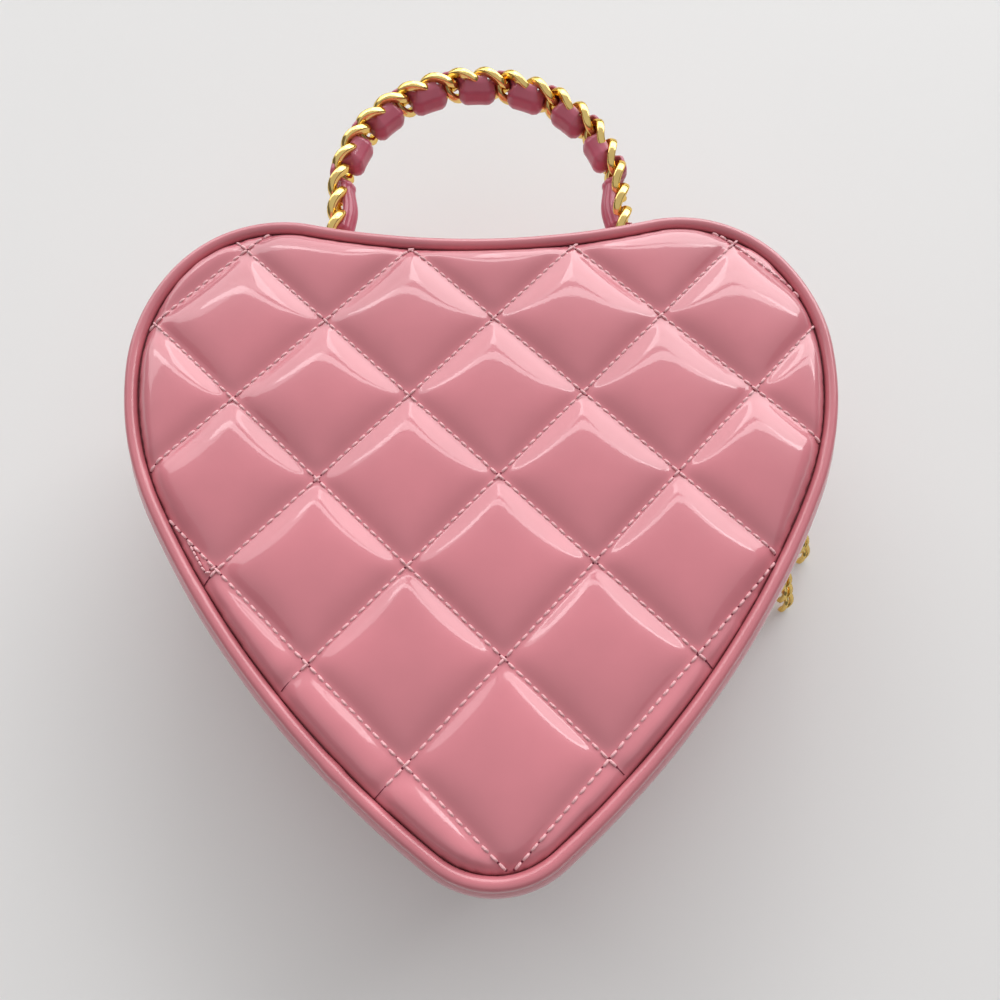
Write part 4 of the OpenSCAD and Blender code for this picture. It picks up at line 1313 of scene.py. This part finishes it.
class PURSE_OT_handle(bpy.types.Operator):
    """Make the curb chain and the strap woven through it"""
    bl_idname = "purse.handle"
    bl_label = "Chain Handle"

    def execute(self, context):
        path = HandlePath()
        self.chain(path)
        self.strap(path)
        return {"FINISHED"}

    def chain(self, path):
        metal = settings().metal
        points, ahead = path.place(np.linspace(0, path.length, 400))
        inward = np.stack([ahead[:, 1], -ahead[:, 0], np.zeros(len(ahead))], -1)
        link = curb_link(path.half_l, metal.link_half_w, metal.twist_angle, metal.link_wire, 32, 16, cut=2.6)
        pitch = metal.link_pitch * PITCH_SHARE
        chain = repeated("curb_chain", [(points, inward)], link, pitch, gold_metal())
        dress(chain, "carry_handle", "gold_metal", "handle_chain")

    def strap(self, path):
        """The strap passes through every link: broad on the arch's inner side, pinched on its way outward.

        Places along it are counted in links from the nearer end of the chain. The wave is high where the
        strap lies on the inner side, and low on the outer side.
        """
        metal, cloth = settings().metal, settings().cloth
        weave_start, end_turn, leg_end, bowed = 1.5, (0.35, -0.31), (1.75, 2.4), (1.95, -0.25)
        swinging, leaning, within, without = (-0.5, 0.5), (-0.3, 0.5), (-0.1, 0.6), (0.1, 0.6)
        inner_more, outer_spread, leg_pinch, leg_flat = 0.3, 0.7, 0.9, 0.8
        end = path.half_l - 2 * metal.ring_wire - metal.link_wire - 2 * metal.link_gap
        s = np.linspace(-end, path.length + end, 6000)
        place = np.minimum(s, path.length - s) / metal.link_pitch
        half_turns = np.where(place > weave_start, place - weave_start, part_way(place, *end_turn))
        wave = np.cos(half_turns * math.pi) + inner_more
        leg = 1 - eased(place, *leg_end)
        bow = np.sin(math.pi * part_way(place, *bowed)) ** 2
        swing = cloth.strap_out - (cloth.strap_in + cloth.strap_out) * eased(wave, *swinging)
        middle = path.place(s, swing - cloth.strap_bow * bow)[0]
        table = even_rows(np.column_stack([middle, wave, leg]), 620)
        middle, wave, leg = table[:, :3], table[:, 3], table[:, 4]
        lead = np.gradient(middle, axis=0)
        lead /= np.linalg.norm(lead, axis=1)[:, None]
        side = np.stack([-lead[:, 1], lead[:, 0], np.zeros(len(lead))], -1)
        lean = (cloth.strap_lean + (cloth.leg_lean - cloth.strap_lean) * leg) * eased(wave, *leaning)
        cos, sin = np.cos(lean)[:, None], np.sin(lean)[:, None]
        side, up = side * cos - UP * sin, UP * cos + side * sin
        inner, outer = eased(wave, *within), eased(-wave, *without)
        spread = inner * (1 - leg_pinch * leg) + outer_spread * outer
        width = cloth.strap_w + (cloth.strap_spread - cloth.strap_w) * spread
        belly = cloth.belly_out * outer - cloth.belly_in * inner * (1 - leg_flat * leg)
        section = strap_section()
        off = section[:, 0] * cloth.strap_t + belly[:, None] * (1 - (2 * section[:, 1]) ** 2)
        across = width[:, None] * section[:, 1]
        rings = middle[:, None] + side[:, None] * off[..., None] + up[:, None] * across[..., None]
        strap = swept("woven_strap", rings, strap_leather(), False)
        dress(strap, "carry_handle", "strap_leather", "handle_strap")


class PURSE_OT_anchors(bpy.types.Operator):
    """Make the leather tabs and the rings that hold the handle"""
    bl_idname = "purse.anchors"
    bl_label = "Handle Anchors"

    def execute(self, context):
        path = HandlePath()
        for name, side in (("left", -1), ("right", 1)):
            middle = np.array([side * path.half, path.hinge_y, path.z])
            wire = settings().metal.ring_wire
            ring = swept(name + "_d_ring", tube(self.ring_line() + middle, wire, 16), gold_metal())
            dress(ring, "carry_handle", "gold_metal", name + "_handle_ring")
            self.tab(path, name, side, middle)
        return {"FINISHED"}

    def ring_line(self):
        """The middle line of a ring's wire: a bow, and a straight bar with rounded corners."""
        r = settings().metal.ring_r
        bow_start, corner, corner_in, corner_up, bar_inset_share = 0.06, 1.2 * MM, 0.15 * MM, 0.2 * MM, 2.5
        bar_end = r - bar_inset_share * corner
        line = [(r * math.cos(a), r * math.sin(a)) for a in np.linspace(bow_start, math.pi - bow_start, 30)]
        line += [(-r + corner_in, corner_up), (-r + corner, 0)]
        line += [(x, 0) for x in np.linspace(-bar_end, bar_end, 8)]
        line += [(r - corner, 0), (r - corner_in, corner_up)]
        return np.array([(x, y, 0) for x, y in line])

    def tab(self, path, name, side, middle):
        """A leather strip folded round the ring's bar, its two ends sewn to the back's side wall."""
        low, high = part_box(name + "_handle_tab")
        thick, width = 1.5 * MM, high.x - low.x
        seat_gap, ply_gap, ring_gap, end_gap = 0.06 * MM, 0.05 * MM, 0.1 * MM, 0.4 * MM
        shape = heart()
        inner = shape.dip_y(path.half, WALL_OUT + seat_gap) + thick / 2
        outer = inner + thick + ply_gap
        r = settings().metal.ring_wire + ring_gap + thick / 2
        y, z, top = middle[1], middle[2], high.z - end_gap
        under = [(inner, top), (inner, z + 9 * MM), (inner, z + 4 * MM), (inner, z + 1 * MM),
                 (inner + 0.35 * MM, z - 1.2 * MM)]
        wrap = [(y + r * math.cos(a), z + r * math.sin(a))
                for a in np.linspace(-0.62 * math.pi, 0.68 * math.pi, 22)]
        over = [(outer + 0.15 * MM, z + 4.6 * MM), (outer, z + 6.5 * MM), (outer, z + 9.5 * MM), (outer, top)]
        line = smooth_line(np.array(under + wrap + over), 90)
        ahead = np.gradient(line, axis=0)
        ahead /= np.linalg.norm(ahead, axis=1)[:, None]
        across = np.stack([-ahead[:, 1], ahead[:, 0]], -1)
        section = rounded_section(width, thick, 20, 6)
        yz = line[:, None] + across[:, None] * section[None, :, 1:]
        x = np.broadcast_to(section[None, :, 0], yz.shape[:2])
        near = part_way(line[:, 0], outer + 0.9 * MM, outer - 0.7 * MM)[:, None]
        slope = -side * math.tan(shape.dip_slope(path.half))
        rings = np.stack([middle[0] + x, yz[..., 0] + near * slope * x, yz[..., 1]], -1)
        strip = swept(name + "_tab", rings, patent_leather(), False)
        dress(strip, "back_shell", "patent_leather", name + "_handle_tab")
        seam_half_w, seam_top, seam_foot = width / 2 - 1.5 * MM, high.z - 1.9 * MM, z + 6.2 * MM
        face = outer + thick / 2 + 0.03 * MM
        box = np.array([(-seam_half_w, seam_foot), (-seam_half_w, seam_top), (seam_half_w, seam_top),
                        (seam_half_w, seam_foot), (-seam_half_w, seam_foot)])
        run = np.concatenate([np.linspace(a, b, 12)[:-1] for a, b in zip(box, box[1:])])
        seam = np.column_stack([middle[0] + run[:, 0], face + slope * run[:, 0], run[:, 1]])
        up = np.array([side * math.sin(shape.dip_slope(path.half)), math.cos(shape.dip_slope(path.half)), 0])
        sew(name + "_tab", [(seam, up)], "back_shell", seed=12)


def smooth_line(points, count, rounds=3, near=0.75):
    """A smooth line through points, evenly spaced, made by cutting the corners a few times."""
    for _ in range(rounds):
        ahead = near * points[:-1] + (1 - near) * points[1:]
        behind = (1 - near) * points[:-1] + near * points[1:]
        cut = np.stack([ahead, behind], 1).reshape(-1, points.shape[1])
        points = np.concatenate([points[:1], cut, points[-1:]])
    return even_rows(points, count)


# Sliders and pulls

def slider_parts():
    """Skins of a slider in its own frame: X outward, Y along the zip, Z across it."""
    metal = settings().metal
    thick, half_l, half_w, bar = metal.slider_t, metal.slider_l / 2, metal.slider_w / 2, metal.bar_out
    outer, inner, edge = 0.5 * MM, -2.5 * MM, 0.35 * MM
    web_half_l, web_half_w = 2.5 * MM, 0.3 * MM
    rail_half_l, rail_w, rail_out, rail_in = 5 * MM, 1 * MM, -0.2 * MM, -1.8 * MM
    in_outer, in_inner, rail_top = outer + thick / 2, inner - thick / 2, -half_w + rail_w
    parts = [
        rounded_block((outer, -half_l, -half_w), (outer + thick, half_l, half_w), 24, 3.0, edge),
        rounded_block((inner - thick, -half_l, -half_w), (inner, half_l, half_w), 24, 3.0, edge),
        rounded_block((in_inner, -web_half_l, -web_half_w), (in_outer, web_half_l, web_half_w)),
        rounded_block((rail_out, -rail_half_l, -half_w), (in_outer, rail_half_l, rail_top), 16, 4),
        rounded_block((in_inner, -rail_half_l, -half_w), (rail_in, rail_half_l, rail_top), 16, 4),
    ]
    half_bridge = 4 * MM
    bend = [(in_outer, 0.7 * MM), (bar - 1.5 * MM, 0.55 * MM), (bar - 0.3 * MM, 1.1 * MM), (bar, 2.2 * MM)]
    foot = [(x, y - half_bridge, 0) for x, y in bend]
    arch = foot + [(bar, 0, 0)] + [(x, -y, z) for x, y, z in foot[::-1]]
    bridge = tube(smooth_line(np.array(arch), 36), metal.bar_r, 14, closed=False)
    return parts + [skin(bridge, False)]


class PURSE_OT_sliders(bpy.types.Operator):
    """Make the two sliders with their rings and chain pulls"""
    bl_idname = "purse.sliders"
    bl_label = "Sliders and Pulls"

    # Each slider, its arc, and its turn in degrees from where the flank meets the side
    places = (("lower", FLANK, -2), ("upper", SIDE, 4.6))

    def execute(self, context):
        shape = heart()
        for name, arc, turned in self.places:
            place = rim_place(shape, arc, shape.last[FLANK] + math.radians(turned), 0, MID)
            parts = [moved(part, place) for part in slider_parts()]
            body = joined(name + "_zip_slider_body", parts, gold_metal())
            dress(body, name + "_zip_slider", "gold_metal", name + "_slider")
            self.pull(place, name)
        return {"FINISHED"}

    def pull(self, place, name):
        """A ring on the slider's bar and a short chain that hangs from it, leaning outward."""
        metal = settings().metal
        ring_r, ring_wire, lean = metal.pull_ring_r, metal.pull_ring_wire, metal.pull_lean
        wire, gap, links = metal.pull_wire, metal.link_gap, metal.pull_links
        floor_gap, swing_room, ring_steps, link_steps = 0.5 * MM, 2 * gap, 32, 4
        drop = ring_r - ring_wire - metal.bar_r - gap
        down = place @ Matrix.Translation((metal.bar_out, 0, 0)) @ Matrix.Rotation(math.pi / 2 - lean, 4, "Y")
        circle = unit(np.arange(ring_steps) * 2 * math.pi / ring_steps) * ring_r
        loop = np.stack([drop + circle[:, 0], np.zeros(ring_steps), circle[:, 1]], -1)
        ring = moved(skin(tube(loop, ring_wire, 12, up=(0, 1, 0))), down)
        dress(joined(name + "_ring", [ring], gold_metal()), name + "_slider_ring", "gold_metal",
              name + "_pull_ring")
        first = drop + ring_r - ring_wire - wire - swing_room
        overlap = 2 * wire + gap
        length = (MID - floor_gap) / math.cos(lean) - wire * math.tan(lean)
        half_l = (length - first - wire + (links - 1) * overlap) / (2 * links)
        pitch = 2 * half_l - overlap
        reaches = [first + half_l + pitch * i / link_steps for i in range(link_steps * (links - 1) + 1)]
        line = np.array([down @ Vector((reach, 0, 0)) for reach in reaches])
        up = down.to_3x3() @ Vector((0, 0, 1))
        link = curb_link(half_l, metal.pull_half_w, metal.twist_angle, wire, 24, 10)
        chain = repeated(name + "_chain_pull", [(line, up)], link, pitch * PITCH_SHARE, gold_metal())
        dress(chain, name + "_pull", "gold_metal", name + "_pull_chain")


class PURSE_OT_boards(bpy.types.Operator):
    """Finish the boards that stay as packed"""
    bl_idname = "purse.boards"
    bl_label = "Boards"

    def execute(self, context):
        for half in HALF_NAMES:
            for part in ("board", "wall_board"):
                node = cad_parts[half + "_" + part]
                node.data.materials.clear()
                node.data.materials.append(stiff_board())
        return {"FINISHED"}


# Stage

class PURSE_OT_stage(bpy.types.Operator):
    """Set the floor, the soft lights and the camera"""
    bl_idname = "purse.stage"
    bl_label = "Stage"

    # Each lamp's azimuth and elevation, the two angles that it spans, in degrees, and its radiance
    lamps = {
        "Right window": (28, 27, (54, 34), 3.5),
        "Left window": (-28, 27, (54, 34), 1.9),
        "Window top": (12, 48, (80, 5), 4.0),
        "Ceiling": (0, 89, (104, 104), 0.48),
    }
    lamp_away = 12.0
    lamp_target = (0, 10 * MM, MID)
    room_colour, room_strength = (1.0, 0.97, 0.96, 1), 0.145
    floor_half, floor_colour = 6.0, (0.78, 0.775, 0.77)
    camera_place = (-1.83 * MM, -77.21 * MM, 286.99 * MM)
    camera_turn = (18.535, -0.944, -1.631)
    lens_mm, sensor_mm = 27, 36

    def execute(self, context):
        scene = context.scene
        scene.view_settings.view_transform = "Standard"
        self.floor()
        self.world(scene)
        for name, lamp in self.lamps.items():
            self.softbox(name, *lamp)
        self.camera(scene)
        return {"FINISHED"}

    def floor(self):
        half = self.floor_half
        floor = mesh_object("floor", [(-half, -half, 0), (half, -half, 0), (half, half, 0), (-half, half, 0)],
                            [(0, 1, 2, 3)], closed=False, smooth=False)
        made = Finish("Pale floor", self.floor_colour, roughness=0.6, specular_ior_level=0.3)
        made.shades(made.noise(0.4, detail=2), darker=0.985, lighter=1.01)
        floor.data.materials.append(made.bump((made.noise(2 * MM), 0.01 * MM)))

    def world(self, scene):
        world = bpy.data.worlds.new("Soft room")
        world.use_nodes = True
        background = world.node_tree.nodes["Background"]
        background.inputs["Color"].default_value = self.room_colour
        background.inputs["Strength"].default_value = self.room_strength
        scene.world = world

    def softbox(self, name, azimuth, elevation, spread, radiance):
        """A far rectangular lamp: azimuth from +Y towards +X, and the angles it spans, in degrees."""
        around, up = math.radians(azimuth), math.radians(elevation)
        away, target = self.lamp_away, Vector(self.lamp_target)
        light = bpy.data.lights.new(name, "AREA")
        light.shape = "RECTANGLE"
        light.size, light.size_y = (2 * away * math.tan(math.radians(angle) / 2) for angle in spread)
        light.energy = radiance * math.pi * light.size * light.size_y
        lamp = bpy.data.objects.new(name, light)
        ahead = Vector((math.sin(around) * math.cos(up), math.cos(around) * math.cos(up), math.sin(up)))
        lamp.location = target + away * ahead
        lamp.rotation_euler = (target - lamp.location).to_track_quat("-Z", "Y").to_euler()
        bpy.context.scene.collection.objects.link(lamp)

    def camera(self, scene):
        lens = bpy.data.cameras.new("Camera")
        lens.lens = self.lens_mm
        lens.sensor_width = self.sensor_mm
        camera = bpy.data.objects.new("Camera", lens)
        camera.location = self.camera_place
        camera.rotation_euler = Euler([math.radians(angle) for angle in self.camera_turn])
        scene.collection.objects.link(camera)
        scene.camera = camera


class PURSE_PT_build(bpy.types.Panel):
    """Lists the steps that build the purse"""
    bl_label = "Heart Purse"
    bl_space_type = "VIEW_3D"
    bl_region_type = "UI"
    bl_category = "Purse"

    def draw(self, context):
        for operator in OPERATORS:
            self.layout.operator(operator.bl_idname)


OPERATORS = (PURSE_OT_stage, PURSE_OT_panels, PURSE_OT_walls, PURSE_OT_hinge, PURSE_OT_zip, PURSE_OT_lining,
             PURSE_OT_anchors, PURSE_OT_handle, PURSE_OT_sliders, PURSE_OT_boards)
GROUPS = (PurseOutline, PurseLeather, PurseMetal, PurseCloth, PurseFilling, PurseSettings)
CLASSES = GROUPS + OPERATORS + (PURSE_PT_build,)


def register():
    for cls in CLASSES:
        bpy.utils.register_class(cls)
    bpy.types.Scene.purse = PointerProperty(type=PurseSettings)


def unregister():
    del bpy.types.Scene.purse
    for cls in reversed(CLASSES):
        bpy.utils.unregister_class(cls)


def main():
    register()
    bpy.ops.purse.stage()
    bpy.ops.purse.panels()
    bpy.ops.purse.walls()
    bpy.ops.purse.hinge()
    bpy.ops.purse.zip()
    bpy.ops.purse.lining()
    bpy.ops.purse.anchors()
    bpy.ops.purse.handle()
    bpy.ops.purse.sliders()
    bpy.ops.purse.boards()


if __name__ == "__main__":
    main()
